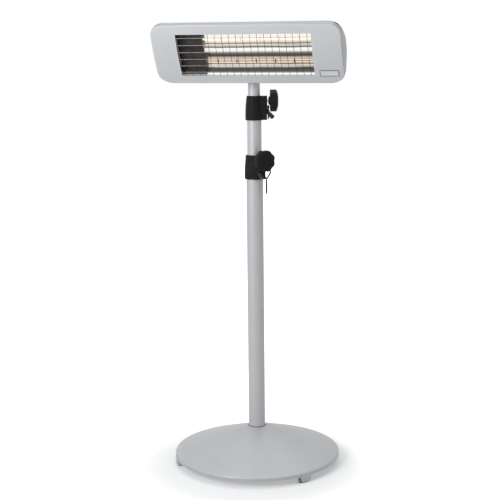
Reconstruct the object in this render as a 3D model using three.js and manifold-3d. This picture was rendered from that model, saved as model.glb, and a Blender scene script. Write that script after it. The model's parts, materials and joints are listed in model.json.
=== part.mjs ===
// Infrared patio heater on a telescopic mast: millimetres, +Z up, floor at z = 0, mast axis at x = y = 0.
// The heater head looks along -Y and tilts about X. Each mesh is one physical piece.
import * as THREE from "three";
import { mergeVertices } from "three/addons/utils/BufferGeometryUtils.js";
import Module from "manifold-3d";

const wasm = await Module();
wasm.setup();

// ---------------------------------------------------------------- driving dimensions
const gap = 0.3; // between two pieces that seat on each other
const runGap = 0.3; // radial play of a piece that turns or slides
const rimSides = 64; // facets round the base
const sides = 32; // facets round a tube or collar
const smallSides = 16; // facets round a screw or pin

// base
const baseR = 250;
const rimBottomZ = 20;
const rimHeight = 10;
const coneRise = 78;
const coverWall = 2;
const plateThick = 4;
const socketWall = 5;
const socketTopZ = 92;
const socketScrewZ = 62;
const socketScrewHead = 7;
const socketDrillStart = 5; // how far inside the socket's bore its drill starts
const socketFlangeR = 58;
const socketFlangeThick = 5;
const ballastOuterR = 190;
const ballastHeight = 18;
const grommetHeight = 1.2;
const grommetLip = 0.6;
const grommetWall = 1.2;
const footDegs = [-40, -152, 84]; // the two front feet stand a little nearer each other
const footInset = 9; // from the rim to the glider's axis
const footRadius = baseR - footInset;
const footHalfWidth = 17;
const footDepth = 20;
const footLipThick = 2;
const footLipTopZ = 29;
const footBottomZ = 2.5;
const footCorner = 6;
const gliderR = 7;
const gliderAxisZ = 6.6;
const gliderOverhang = 1;

// mast: outer radius and wall of each tube, and the heights of its ends
const tubeWall = 2;
const lowerTubeR = 25;
const midTubeR = 21;
const topTubeR = 17.5;
const midTubeBottomZ = 250;
const topTubeBottomZ = 330;
const topTubeTopZ = 1243;
const guideLength = 40;
const guideLip = 4;

// clamp collars
const lowerCollarZ = 866;
const upperCollarZ = 1039.5;
const lowerCollarDeg = -44;
const upperCollarDeg = 16;
const collarHeight = 71;
const collarSeat = 34; // how far the outer tube goes into its collar
const collarWallBottom = 6.5;
const collarTaper = 3.6; // how much slimmer the collar is at its top, on the radius
const blockReach = 38.5;
const blockHalfWidth = 17;
const blockStepZ = 28;
const blockStep = 0.9;
const blockCorner = 3;
const blockInset = 0.8; // how far the block stays inside the collar's two ends
const collarBorePlay = 0.5;

// clamp screw and star knob
const screwR = 3.9;
const screwZ = 56.5;
const insertR = 6;
const insertLength = 10;
const shoeEnd = 27.7;
const knobR = 32.2;
const knobNeckR = 9;
const neckFlare = 1.6; // how much wider the neck is where it meets the knob
const knobStart = 42;
const knobFace = 47;
const knobEnd = 71.5;
const knobLobes = 8;
const knobLobeDepth = 1.6;

// catch plunger, 45 degrees down and out of the block
const catchFaceZ = 24;
const catchSide = -9;
const catchRodR = 3;
const catchRodInner = -34;
const catchPocketR = 5.3;
const catchPocketEnd = -8;
const catchBossR = 6.8;
const catchBossEnd = 4.5;
const catchShoulder = 2;
const catchBushLength = 3;
const catchGripR = 5.5;
const catchGripLength = 20;
const catchGripBore = 12;
const springWireR = 0.5;
const springTurns = 2;

// tether ring and safety pin
const ringSide = 15.2;
const ringPlane = 42;
const ringWireR = 1.5;
const ringR = 13.3;
const ringCentreZ = 27.4;
const ringTipR = 3.5;
const ringTipZ = 7;
const pegR = 2.2;
const pegHeadR = 4;
const pegHeadThick = 1.5;
const pinR = 2.5;
const pinLength = 44;
const pinHoleZ = 14;
const pinHoleOffset = 6; // from the outer tube's surface to the parked pin's axis
const eyeR = 4.2;
const eyeHoleR = 2.6;
const eyeThick = 2.4;

// tilt joint
const pivotY = -26;
const pivotZ = 1270;
const restTiltDeg = 27.8;
const earThick = 6;
const earR = 14;
const earRootHeight = 34;
const tongueHalf = 8.3;
const tongueR = 12.5;
const adapterWall = 4;
const adapterBottomZ = 1199;
const adapterNeckZ = 1257;
const adapterScrewZ = 1221;
const adapterScrewR = 3;
const boltR = 4;
const boltHeadR = 7;
const boltHeadLength = 5.5;
const boltReach = 14; // how far the bolt goes into its knob
const tiltKnobR = 17;
const tiltKnobLength = 20;

// heater head, in its own frame: x along the head, y backwards from the face's middle, z up the face
const headOffsetX = 7.5;
const headHalfLength = 277;
const headHalfHeight = 94;
const headCornerLong = 45; // the corners are elliptical: longer along the head than up it
const headCornerTall = 35;
const faceArcR = 460;
const bezelWall = 2;
const rimDepth = 13;
const shellWall = 2;
const shellStraight = 4;
const shellDepth = 66;
const shellMidHalfHeight = 70; // half way from the turn to the back
const shellBackHalfLength = 274;
const shellBackHalfHeight = 36;
const shellBackCorner = 25;
const pivotStandoff = 26; // from the shell's back to the tilt axis
const pivotDepth = shellDepth + pivotStandoff;
const capSeamX = 236;
const windowLeft = -202.8;
const windowRight = 192.3;
const windowHalfHeight = 66.2;

// grille, reflector and lamps
const wire = 2;
const grilleOverlap = 6;
const meshPitchX = 20.6;
const meshPitchZ = 21.84;
const meshTopZ = 54.1;
const meshRows = 6;
const lampZ = 35.5;
const lampDepth = 37;
const lampR = 5.5;
const lampHalfLength = 212;
const reflectorFocus = 14;
const reflectorHalfTrough = 33;
const reflectorLeft = -131.5;
const reflectorRight = 200;
const reflectorSheet = 1;
const holderStart = 203;
const holderThick = 14;
const holderHalfBar = 44;
const holderHalfStem = 26;
const holderFrontDepth = 29;
const holderStemDepth = 45;
const terminalX = -166;
const terminalSize = { x: 64, y: 18, z: 26 };
const glandX = -118;
const glandR = 8;
const glandFlangeR = 11;
const glandOutLength = 18;
const glandInLength = 7;
const glandBoreR = 4.5;
const plateFromEnd = 42.7; // from the plate's middle to the head's right end
const plateCentre = { x: headHalfLength - plateFromEnd, z: -58 };
const plateSize = { x: 54, y: 1, z: 20 };

// head bracket
const bracketHalfLength = 49;
const bracketHalfHeight = 21;
const bracketPlate = 4;
const bracketScrewX = 41;
const bracketScrewR = 3;
const bracketScrewHeadR = 5;
const bracketScrewLength = 14;

// ---------------------------------------------------------------- materials
const paint = (color, roughness, metalness) =>
  new THREE.MeshStandardMaterial({ color, roughness, metalness });
const silverPaint = paint(0xb9bbbe, 0.45, 0.35);
const facePaint = paint(0xc6c9cc, 0.4, 0.35);
const blackPlastic = paint(0x222224, 0.55, 0);
const rubber = paint(0x18181a, 0.9, 0);
const steel = paint(0x9fa1a4, 0.3, 1);
const blackSteel = paint(0x2c2c2e, 0.4, 1);
const brass = paint(0xb08d4c, 0.35, 1);
const castIron = paint(0x4a4a4c, 0.8, 0.4);
const polished = paint(0xe6e6e2, 0.08, 1);
const quartz = paint(0xffd9a0, 0.1, 0);
const ceramic = paint(0xe8e2d4, 0.7, 0);
const nylon = paint(0xd8d6cf, 0.6, 0);
const bareTag = paint(0xd2d3d6, 0.35, 0.5);

// ---------------------------------------------------------------- helpers
const root = new THREE.Group();
const rad = THREE.MathUtils.degToRad;

function solid(geometry, matrix = new THREE.Matrix4()) {
  const bare = geometry.index ? geometry.toNonIndexed() : geometry.clone();
  bare.deleteAttribute("normal");
  bare.deleteAttribute("uv");
  bare.applyMatrix4(matrix);
  const merged = mergeVertices(bare, 1e-4);
  const vertProperties = new Float32Array(merged.attributes.position.array);
  const triVerts = new Uint32Array(merged.index.array);
  const made = new wasm.Manifold(new wasm.Mesh({ numProp: 3, vertProperties, triVerts }));
  if (made.volume() > 0) return made;
  for (let i = 0; i < triVerts.length; i += 3) {
    [triVerts[i + 1], triVerts[i + 2]] = [triVerts[i + 2], triVerts[i + 1]];
  }
  return new wasm.Manifold(new wasm.Mesh({ numProp: 3, vertProperties, triVerts }));
}

function add(parent, name, body, material) {
  const mesh = body.getMesh();
  const geometry = new THREE.BufferGeometry();
  geometry.setAttribute("position", new THREE.BufferAttribute(new Float32Array(mesh.vertProperties), 3));
  geometry.setIndex(new THREE.BufferAttribute(new Uint32Array(mesh.triVerts), 1));
  geometry.computeVertexNormals();
  const piece = new THREE.Mesh(geometry, material);
  piece.name = name;
  parent.add(piece);
  return piece;
}

const move = (x, y, z) => new THREE.Matrix4().makeTranslation(x, y, z);

// A solid of revolution about Z from a closed outline of [radius, z] points.
function turned(outline, segments = sides) {
  const points = outline.map(([r, z]) => new THREE.Vector2(r, z));
  const closed = outline[0][0] < 1e-9 && outline[outline.length - 1][0] < 1e-9;
  if (!closed) points.push(points[0].clone());
  const geometry = new THREE.LatheGeometry(points, segments);
  geometry.rotateX(Math.PI / 2);
  return solid(geometry);
}

const rod = (r, z0, z1, segments = smallSides) => turned([[0, z0], [r, z0], [r, z1], [0, z1]], segments);
const pipe = (inner, outer, z0, z1, segments = sides) =>
  turned([[inner, z0], [outer, z0], [outer, z1], [inner, z1]], segments);

// The matrix that lays a piece made about Z along another direction, from a point.
function along(origin, direction) {
  const turn = new THREE.Quaternion().setFromUnitVectors(
    new THREE.Vector3(0, 0, 1),
    new THREE.Vector3(...direction).normalize(),
  );
  return new THREE.Matrix4().makeRotationFromQuaternion(turn).setPosition(...origin);
}

// manifold-3d takes column-major 4x4 arrays, as three.js keeps them.
const placed = (body, matrix) => body.transform(matrix.elements.slice());

function block(x0, x1, y0, y1, z0, z1) {
  const geometry = new THREE.BoxGeometry(x1 - x0, y1 - y0, z1 - z0);
  return solid(geometry, move((x0 + x1) / 2, (y0 + y1) / 2, (z0 + z1) / 2));
}

function roundedRect(halfX, halfY, corner, steps = 6, cornerY = corner) {
  const shape = new THREE.Shape();
  for (const [sx, sy, start] of [[1, 1, 0], [-1, 1, 90], [-1, -1, 180], [1, -1, 270]]) {
    for (let i = 0; i <= steps; i++) {
      const a = rad(start + (90 * i) / steps);
      const x = sx * (halfX - corner) + corner * Math.cos(a);
      const y = sy * (halfY - cornerY) + cornerY * Math.sin(a);
      if (shape.curves.length === 0 && sx * sy === 1 && sx > 0 && i === 0) shape.moveTo(x, y);
      else shape.lineTo(x, y);
    }
  }
  shape.closePath();
  return shape;
}

// A prism of a shape in the XY plane from z0 to z1.
function prism(shape, z0, z1) {
  const geometry = new THREE.ExtrudeGeometry(shape, { depth: z1 - z0, bevelEnabled: false });
  return solid(geometry, move(0, 0, z0));
}

function shapeOf(points) {
  const shape = new THREE.Shape();
  points.forEach(([x, y], i) => (i ? shape.lineTo(x, y) : shape.moveTo(x, y)));
  shape.closePath();
  return shape;
}

// A prism of an outline of [y, z] points from x0 to x1.
function sideProfile(points, x0, x1) {
  const geometry = new THREE.ExtrudeGeometry(shapeOf(points), { depth: x1 - x0, bevelEnabled: false });
  const basis = new THREE.Matrix4().makeBasis(
    new THREE.Vector3(0, 1, 0),
    new THREE.Vector3(0, 0, 1),
    new THREE.Vector3(1, 0, 0),
  );
  return solid(geometry, move(x0, 0, 0).multiply(basis));
}

// A prism of a shape of (x, z) from y0 to y1.
function frontProfile(shape, y0, y1) {
  const geometry = new THREE.ExtrudeGeometry(shape, { depth: y1 - y0, bevelEnabled: false });
  return solid(geometry, move(0, y1, 0).multiply(new THREE.Matrix4().makeRotationX(Math.PI / 2)));
}

// A closed skin through sections that all have the same number of points.
function loft(sections) {
  const n = sections[0].length;
  const positions = sections.flat(2);
  const index = [];
  for (let s = 0; s + 1 < sections.length; s++) {
    for (let i = 0; i < n; i++) {
      const a = s * n + i;
      const b = s * n + ((i + 1) % n);
      index.push(a, b, b + n, a, b + n, a + n);
    }
  }
  const last = (sections.length - 1) * n;
  for (let i = 1; i + 1 < n; i++) {
    index.push(0, i + 1, i);
    index.push(last, last + i, last + i + 1);
  }
  const geometry = new THREE.BufferGeometry();
  geometry.setAttribute("position", new THREE.Float32BufferAttribute(positions, 3));
  geometry.setIndex(index);
  return solid(geometry);
}

// A round wire along an open curve.
function wireAlong(curve, r, steps, facets) {
  const section = new THREE.Shape();
  for (let i = 0; i < facets; i++) {
    const a = (2 * Math.PI * (i + 0.5)) / facets;
    const point = [r * Math.cos(a), r * Math.sin(a)];
    if (i) section.lineTo(...point);
    else section.moveTo(...point);
  }
  section.closePath();
  return solid(new THREE.ExtrudeGeometry(section, { steps, extrudePath: curve, bevelEnabled: false }));
}

// ---------------------------------------------------------------- base
const coneRootR = lowerTubeR + grommetWall + 2 * gap;
const rimTopZ = rimBottomZ + rimHeight;
const coneTopZ = rimTopZ + coneRise;
const coneSlope = coneRise / (baseR - coneRootR);
const coneInnerZ = (r) => rimTopZ - coverWall + (baseR - coverWall - r) * coneSlope;

function baseCover() {
  const outline = [
    [baseR - coverWall, rimBottomZ],
    [baseR, rimBottomZ],
    [baseR, rimTopZ - 1.2],
    [baseR - 1.5, rimTopZ + 0.4],
    [coneRootR, coneTopZ],
    [coneRootR, coneInnerZ(coneRootR)],
    [baseR - coverWall, coneInnerZ(baseR - coverWall) - 0.6],
  ];
  return turned(outline, rimSides);
}

const plateTopZ = rimBottomZ + plateThick;
const flangeTopZ = plateTopZ + gap + socketFlangeThick;
const socketBoreR = lowerTubeR + runGap;

function mastSocket() {
  const outline = [
    [0, plateTopZ + gap],
    [socketFlangeR, plateTopZ + gap],
    [socketFlangeR, flangeTopZ],
    [socketBoreR + socketWall, flangeTopZ],
    [socketBoreR + socketWall, socketTopZ],
    [socketBoreR, socketTopZ],
    [socketBoreR, flangeTopZ],
    [0, flangeTopZ],
  ];
  const drillEnd = socketBoreR + socketWall + 1;
  const bit = rod(screwR + runGap, socketBoreR - socketDrillStart, drillEnd);
  const drill = placed(bit, along([0, 0, socketScrewZ], [1, 0, 0]));
  return turned(outline).subtract(drill);
}

function ballast() {
  const floor = plateTopZ + gap;
  return pipe(socketFlangeR + 2, ballastOuterR, floor, floor + ballastHeight, sides * 2);
}

function grommet() {
  const inner = lowerTubeR + gap;
  const neck = coneRootR - gap;
  return turned([
    [inner, coneTopZ - 5],
    [neck, coneTopZ - 5],
    [neck, coneTopZ + gap],
    [neck + grommetLip, coneTopZ + gap],
    [neck + grommetLip, coneTopZ + gap + grommetHeight * 0.6],
    [neck, coneTopZ + gap + grommetHeight],
    [inner, coneTopZ + gap + grommetHeight],
  ]);
}

function socketScrew() {
  const end = socketBoreR + socketWall + socketScrewHead;
  return placed(rod(screwR, lowerTubeR + gap, end), along([0, 0, socketScrewZ], [1, 0, 0]));
}

// The foot's own frame: x radial from the mast, y tangential.
function footSaddle() {
  const inner = footRadius - footDepth / 2 + 1;
  const outer = baseR + gap + footLipThick;
  const underPlate = rimBottomZ - gap;
  const face = new THREE.Shape();
  face.moveTo(-footHalfWidth, footLipTopZ);
  face.lineTo(-footHalfWidth, footBottomZ + footCorner);
  face.absarc(-footHalfWidth + footCorner, footBottomZ + footCorner, footCorner, Math.PI, 1.5 * Math.PI);
  face.lineTo(footHalfWidth - footCorner, footBottomZ);
  face.absarc(footHalfWidth - footCorner, footBottomZ + footCorner, footCorner, 1.5 * Math.PI, 2 * Math.PI);
  face.lineTo(footHalfWidth, footLipTopZ);
  face.closePath();
  const extrude = { depth: outer - inner, bevelEnabled: false, curveSegments: 5 };
  const geometry = new THREE.ExtrudeGeometry(face, extrude);
  const stand = new THREE.Matrix4().makeBasis(
    new THREE.Vector3(0, 1, 0),
    new THREE.Vector3(0, 0, 1),
    new THREE.Vector3(1, 0, 0),
  );
  const body = solid(geometry, move(inner, 0, 0).multiply(stand));
  const rimClearance = rod(baseR + gap, underPlate, footLipTopZ + 1, rimSides * 2);
  const bore = placed(
    rod(gliderR + gap, -footHalfWidth - 5, footHalfWidth + 5, 20),
    along([footRadius, 0, gliderAxisZ], [0, 1, 0]),
  );
  return body.subtract(rimClearance).subtract(bore);
}

function footGlider() {
  const length = footHalfWidth + gliderOverhang;
  const axis = along([footRadius, 0, gliderAxisZ], [0, 1, 0]);
  const bar = placed(rod(gliderR, -length, length, 20), axis);
  const floorCut = block(footRadius - 20, footRadius + 20, -length - 1, length + 1, -20, 0);
  return bar.subtract(floorCut);
}

function buildBase() {
  add(root, "base_cover", baseCover(), silverPaint);
  add(root, "base_plate", rod(baseR - coverWall - gap, rimBottomZ, plateTopZ, rimSides), steel);
  add(root, "ballast_ring", ballast(), castIron);
  add(root, "mast_socket", mastSocket(), steel);
  add(root, "socket_screw", socketScrew(), steel);
  add(root, "cover_grommet", grommet(), rubber);
  footDegs.forEach((deg, i) => {
    const foot = new THREE.Group();
    foot.rotation.z = rad(deg);
    root.add(foot);
    add(foot, `foot_saddle_${i + 1}`, footSaddle(), silverPaint);
    add(foot, `foot_glider_${i + 1}`, footGlider(), rubber);
  });
}

// ---------------------------------------------------------------- mast
function guide(innerR, outerBoreR, bottomZ, tubeBore) {
  return turned(
    [
      [tubeBore - 2, bottomZ - gap - guideLip],
      [outerBoreR - runGap, bottomZ - gap - guideLip],
      [outerBoreR - runGap, bottomZ + guideLength],
      [innerR + runGap, bottomZ + guideLength],
      [innerR + runGap, bottomZ - gap],
      [tubeBore - 2, bottomZ - gap],
    ],
  );
}

function buildMast() {
  const lowerBottomZ = flangeTopZ + gap;
  const lowerBore = lowerTubeR - tubeWall;
  const midBore = midTubeR - tubeWall;
  const topBore = topTubeR - tubeWall;
  add(root, "lower_tube", pipe(lowerBore, lowerTubeR, lowerBottomZ, lowerCollarZ + collarSeat), silverPaint);
  add(root, "mid_tube", pipe(midBore, midTubeR, midTubeBottomZ, upperCollarZ + collarSeat), silverPaint);
  add(root, "top_tube", pipe(topBore, topTubeR, topTubeBottomZ, topTubeTopZ), silverPaint);
  add(root, "mid_guide", guide(midTubeR, lowerBore, midTubeBottomZ, midBore), nylon);
  add(root, "top_guide", guide(topTubeR, midBore, topTubeBottomZ, topBore), nylon);
}

// ---------------------------------------------------------------- clamp collars
// A collar's own frame: x radial through its block, y tangential, z up from its lower edge.
const catchWay = [Math.SQRT1_2, 0, -Math.SQRT1_2];
const catchMouth = [blockReach, catchSide, catchFaceZ];
const catchAxis = () => along(catchMouth, catchWay);
const catchGripStart = catchBossEnd + gap;
const catchBushStart = catchBossEnd - gap - catchBushLength;
const pegZ = ringCentreZ + ringR - ringWireR - gap - pegR;

function collarBody(outerTubeR, innerTubeR) {
  const bottomR = outerTubeR + collarWallBottom;
  const topR = bottomR - collarTaper;
  const shell = turned([
    [0, 0],
    [bottomR - 1, 0],
    [bottomR, 1],
    [topR, collarHeight - 1.5],
    [topR - 1.5, collarHeight],
    [0, collarHeight],
  ]);
  const middle = blockReach / 2;
  const wide = roundedRect(middle, blockHalfWidth, blockCorner, 3);
  const upper = prism(wide, blockStepZ, collarHeight - blockInset);
  const narrow = roundedRect(middle - blockStep, blockHalfWidth - blockStep, blockCorner, 3);
  const lower = prism(narrow, blockInset, blockStepZ + 1);
  const peg = turned([
    [0, blockReach - 6],
    [pegR, blockReach - 6],
    [pegR, ringPlane + ringWireR + gap],
    [pegHeadR, ringPlane + ringWireR + gap],
    [pegHeadR, ringPlane + ringWireR + gap + pegHeadThick],
    [0, ringPlane + ringWireR + gap + pegHeadThick],
  ], smallSides);
  let body = shell
    .add(placed(upper, move(middle, 0, 0)))
    .add(placed(lower, move(middle, 0, 0)))
    .add(placed(peg, along([0, ringSide, pegZ], [1, 0, 0])))
    .add(placed(rod(catchBossR, catchPocketEnd - 4, catchBossEnd, 20), catchAxis()));
  const pinX = outerTubeR + pinHoleOffset;
  const cuts = [
    rod(outerTubeR + gap, -1, collarSeat + gap, sides),
    rod(innerTubeR + collarBorePlay, collarSeat, collarHeight + 1, sides),
    placed(rod(insertR + gap, innerTubeR - 2, blockReach + 3), along([0, 0, screwZ], [1, 0, 0])),
    placed(rod(catchRodR + gap, catchRodInner - 3, 2), catchAxis()),
    placed(rod(catchPocketR, catchPocketEnd, catchBossEnd + 3), catchAxis()),
    placed(rod(pinR + gap, -2 * blockHalfWidth, 2 * blockHalfWidth), along([pinX, 0, pinHoleZ], [0, 1, 0])),
  ];
  for (const cut of cuts) body = body.subtract(cut);
  return body;
}

function starKnob(radius, neckR, neckStart, faceStart, end, boreEnd) {
  const dome = turned(
    [
      [0, neckStart],
      [neckR, neckStart],
      [neckR * neckFlare, faceStart - 0.5],
      [radius * 0.8, faceStart],
      [radius + 3, faceStart + 2.5],
      [radius + 3, end - 8],
      [radius * 0.88, end - 4],
      [radius * 0.6, end - 1.2],
      [0, end],
    ],
    24,
  );
  const star = [];
  const count = knobLobes * 4;
  for (let i = 0; i < count; i++) {
    const a = (2 * Math.PI * i) / count;
    const r = radius - knobLobeDepth * (1 - Math.abs(Math.cos((knobLobes * a) / 2)) ** 0.7) * 2;
    star.push([r * Math.cos(a), r * Math.sin(a)]);
  }
  const bore = rod(screwR + gap, neckStart - 1, boreEnd + gap);
  return dome.intersect(prism(shapeOf(star), neckStart - 1, end + 1)).subtract(bore);
}

function tetherRing() {
  const drop = ringCentreZ - ringTipZ;
  const lean = Math.asin((ringR - ringTipR) / drop);
  const on = (centreZ, r, a) => new THREE.Vector3(0, r * Math.cos(a), centreZ + r * Math.sin(a));
  const points = [];
  const topSteps = 14;
  for (let i = 0; i <= topSteps; i++) {
    points.push(on(ringCentreZ, ringR, -lean + ((Math.PI + 2 * lean) * i) / topSteps));
  }
  const tipSteps = 5;
  for (let i = 0; i <= tipSteps; i++) {
    points.push(on(ringTipZ, ringTipR, Math.PI + lean + ((Math.PI - 2 * lean) * i) / tipSteps));
  }
  const n = points.length;
  const wireSides = 6;
  const sections = points.map((p, i) => {
    const way = points[(i + 1) % n].clone().sub(points[(i + n - 1) % n]).normalize();
    const out = new THREE.Vector3(1, 0, 0).cross(way);
    return Array.from({ length: wireSides }, (_, k) => {
      const a = (2 * Math.PI * k) / wireSides;
      return p
        .clone()
        .addScaledVector(out, ringWireR * Math.cos(a))
        .add(new THREE.Vector3(ringWireR * Math.sin(a), 0, 0))
        .toArray();
    });
  });
  return closedTube(sections);
}

// A tube whose last section joins its first.
function closedTube(sections) {
  const n = sections[0].length;
  const count = sections.length;
  const index = [];
  for (let s = 0; s < count; s++) {
    for (let i = 0; i < n; i++) {
      const a = s * n + i;
      const b = s * n + ((i + 1) % n);
      const c = ((s + 1) % count) * n + ((i + 1) % n);
      const d = ((s + 1) % count) * n + i;
      index.push(a, b, c, a, c, d);
    }
  }
  const geometry = new THREE.BufferGeometry();
  geometry.setAttribute("position", new THREE.Float32BufferAttribute(sections.flat(2), 3));
  geometry.setIndex(index);
  return solid(geometry);
}

// The pin's own frame: its eye's centre at the origin, the shank down -Z, the eye's hole along Y.
function safetyPin() {
  const shank = turned(
    [
      [0, -pinLength],
      [pinR - 1, -pinLength],
      [pinR, -pinLength + 1.2],
      [pinR, -eyeR + 1],
      [0, -eyeR + 1],
    ],
    12,
  );
  const eye = placed(rod(eyeR, -eyeThick / 2, eyeThick / 2), along([0, 0, 0], [0, 1, 0]));
  const hole = placed(rod(eyeHoleR, -eyeThick, eyeThick), along([0, 0, 0], [0, 1, 0]));
  return shank.add(eye).subtract(hole);
}

function catchRod(innerTubeR) {
  const outer = catchGripStart + catchGripBore;
  const body = turned(
    [
      [0, catchRodInner],
      [catchRodR, catchRodInner],
      [catchRodR, catchPocketEnd + gap],
      [catchPocketR - 2 * gap, catchPocketEnd + gap],
      [catchPocketR - 2 * gap, catchPocketEnd + gap + catchShoulder],
      [catchRodR, catchPocketEnd + gap + catchShoulder],
      [catchRodR, outer],
      [0, outer],
    ],
    smallSides,
  );
  return placed(body, catchAxis()).subtract(rod(innerTubeR + gap, -10, collarHeight + 10, sides));
}

function catchGrip() {
  const start = catchGripStart;
  const end = start + catchGripLength;
  const outline = [
    [catchRodR + gap, start],
    [catchGripR - 0.6, start],
  ];
  const ribs = 3;
  const pitch = (catchGripLength - 5) / ribs;
  for (let i = 0; i < ribs; i++) {
    const z = start + 2 + i * pitch;
    outline.push([catchGripR, z], [catchGripR, z + pitch * 0.6]);
    outline.push([catchGripR - 0.7, z + pitch * 0.7], [catchGripR - 0.7, z + pitch * 0.9]);
  }
  const boreEnd = start + catchGripBore + gap;
  outline.push([catchGripR, end - 2.5], [catchGripR - 1.2, end], [0, end]);
  outline.push([0, boreEnd], [catchRodR + gap, boreEnd]);
  return placed(turnedOpen(outline, 14), catchAxis());
}

// Like turned(), for an outline that touches the axis only in its middle.
function turnedOpen(outline, segments) {
  const first = outline.findIndex(([r], i) => r < 1e-9 && outline[(i + 1) % outline.length][0] < 1e-9);
  const ordered = [...outline.slice(first + 1), ...outline.slice(0, first + 1)];
  return turned(ordered, segments);
}

function catchSpring() {
  const from = catchPocketEnd + catchShoulder + 2 * gap + springWireR;
  const to = catchBushStart - gap - springWireR;
  const coilR = (catchRodR + catchPocketR) / 2;
  class Helix extends THREE.Curve {
    getPoint(t, target = new THREE.Vector3()) {
      const a = 2 * Math.PI * springTurns * t;
      return target.set(coilR * Math.cos(a), coilR * Math.sin(a), from + (to - from) * t);
    }
  }
  return placed(wireAlong(new Helix(), springWireR, springTurns * 10, 5), catchAxis());
}

function buildCollar(label, z, azimuth, outerTubeR, innerTubeR, pinParked) {
  const collar = new THREE.Group();
  collar.position.z = z;
  collar.rotation.z = rad(azimuth);
  root.add(collar);
  const radial = along([0, 0, screwZ], [1, 0, 0]);
  const insertEnd = blockReach - gap;
  const screwEnd = knobFace + 12;
  add(collar, `${label}_collar`, collarBody(outerTubeR, innerTubeR), blackPlastic);
  const insert = pipe(screwR + runGap, insertR, insertEnd - insertLength, insertEnd, smallSides);
  add(collar, `${label}_clamp_insert`, placed(insert, radial), brass);
  const shoe = placed(rod(insertR, innerTubeR - 2, shoeEnd), radial);
  const shoeCut = rod(innerTubeR + gap, 0, collarHeight, sides);
  add(collar, `${label}_clamp_shoe`, shoe.subtract(shoeCut), nylon);
  add(collar, `${label}_clamp_screw`, placed(rod(screwR, shoeEnd + gap, screwEnd), radial), steel);
  const knob = starKnob(knobR, knobNeckR, knobStart, knobFace, knobEnd, screwEnd);
  add(collar, `${label}_knob`, placed(knob, radial), blackPlastic);
  add(collar, `${label}_catch_rod`, catchRod(innerTubeR), steel);
  add(collar, `${label}_catch_grip`, catchGrip(), blackPlastic);
  add(collar, `${label}_catch_spring`, catchSpring(), steel);
  const bushEnd = catchBushStart + catchBushLength;
  const bush = pipe(catchRodR + runGap, catchPocketR - gap, catchBushStart, bushEnd, smallSides);
  add(collar, `${label}_catch_bush`, placed(bush, catchAxis()), brass);
  add(collar, `${label}_tether_ring`, placed(tetherRing(), move(ringPlane, ringSide, 0)), blackPlastic);
  const eyeDrop = eyeHoleR - ringWireR - gap;
  const hanging = move(ringPlane, ringSide, ringTipZ - ringTipR - eyeDrop);
  const parked = along([outerTubeR + pinHoleOffset, pinLength - blockHalfWidth - 1, pinHoleZ], [0, 1, 0]);
  add(collar, `${label}_safety_pin`, placed(safetyPin(), pinParked ? parked : hanging), blackSteel);
}

// ---------------------------------------------------------------- tilt joint
const adapterR = topTubeR + gap + adapterWall;
const earInner = tongueHalf + gap;
const earOuter = earInner + earThick;

function poleAdapter() {
  const sleeve = rod(adapterR, adapterBottomZ, adapterNeckZ, sides);
  const outline = [];
  const steps = 14;
  for (let i = 0; i <= steps; i++) {
    const a = rad(95 + (150 * i) / steps);
    outline.push([pivotY + earR * Math.cos(a), pivotZ + earR * Math.sin(a)]);
  }
  const earRootZ = adapterBottomZ + earRootHeight;
  outline.push([-adapterR + 2, earRootZ], [adapterR - 4, earRootZ], [adapterR - 4, adapterNeckZ]);
  let body = sleeve
    .add(sideProfile(outline, earInner, earOuter))
    .add(sideProfile(outline, -earOuter, -earInner));
  body = body.subtract(rod(topTubeR + gap, adapterBottomZ - 1, topTubeTopZ + gap, sides));
  body = body.subtract(placed(rod(boltR + runGap, -40, 40), along([0, pivotY, pivotZ], [1, 0, 0])));
  return body.subtract(placed(rod(adapterScrewR + gap, 0, 40), along([0, 0, adapterScrewZ], [0, 1, 0])));
}

function tiltBolt() {
  const hex = Array.from({ length: 6 }, (_, i) => [
    boltHeadR * Math.cos((Math.PI * i) / 3),
    boltHeadR * Math.sin((Math.PI * i) / 3),
  ]);
  const head = prism(shapeOf(hex), -earOuter - gap - boltHeadLength, -earOuter - gap);
  const shank = rod(boltR, -earOuter - gap - 1, earOuter + boltReach);
  return placed(head.add(shank), along([0, pivotY, pivotZ], [1, 0, 0]));
}

function tiltKnob() {
  const start = earOuter + gap;
  const knob = starKnob(tiltKnobR, 9, start, start + 4, start + tiltKnobLength, earOuter + boltReach);
  return placed(knob, along([0, pivotY, pivotZ], [1, 0, 0]));
}

function buildTiltJoint() {
  add(root, "pole_adapter", poleAdapter(), silverPaint);
  const grub = rod(adapterScrewR, topTubeR + gap, adapterR + 2.5);
  add(root, "adapter_screw", placed(grub, along([0, 0, adapterScrewZ], [0, 1, 0])), steel);
  add(root, "tilt_bolt", tiltBolt(), steel);
  add(root, "tilt_knob", tiltKnob(), blackPlastic);
}

// ---------------------------------------------------------------- heater head
// The housing's frame has its origin in the middle of the face, at the arc's foremost line.
const arcDepth = (z, r = faceArcR) => faceArcR - Math.sqrt(r * r - z * z);
const rimBackDepth = arcDepth(headHalfHeight) + rimDepth;

// The space behind the face's arc, down to a depth, inset by a wall.
function arcBody(inset, depth) {
  const half = headHalfHeight + 5;
  const steps = 16;
  const points = [];
  for (let i = 0; i <= steps; i++) {
    const z = -half + (2 * half * i) / steps;
    points.push([arcDepth(z, faceArcR - inset), z]);
  }
  points.push([depth, half], [depth, -half]);
  const length = headHalfLength - inset;
  const slab = sideProfile(points, -length - 1, length + 1);
  const tall = headCornerTall - inset;
  const outline = roundedRect(length, headHalfHeight - inset, headCornerLong - inset, 9, tall);
  return slab.intersect(frontProfile(outline, -5, depth));
}

function bezel() {
  const window = block(windowLeft, windowRight, -5, 30, -windowHalfHeight, windowHalfHeight);
  return arcBody(0, rimBackDepth).subtract(arcBody(bezelWall, rimBackDepth + 10)).subtract(window);
}

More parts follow.
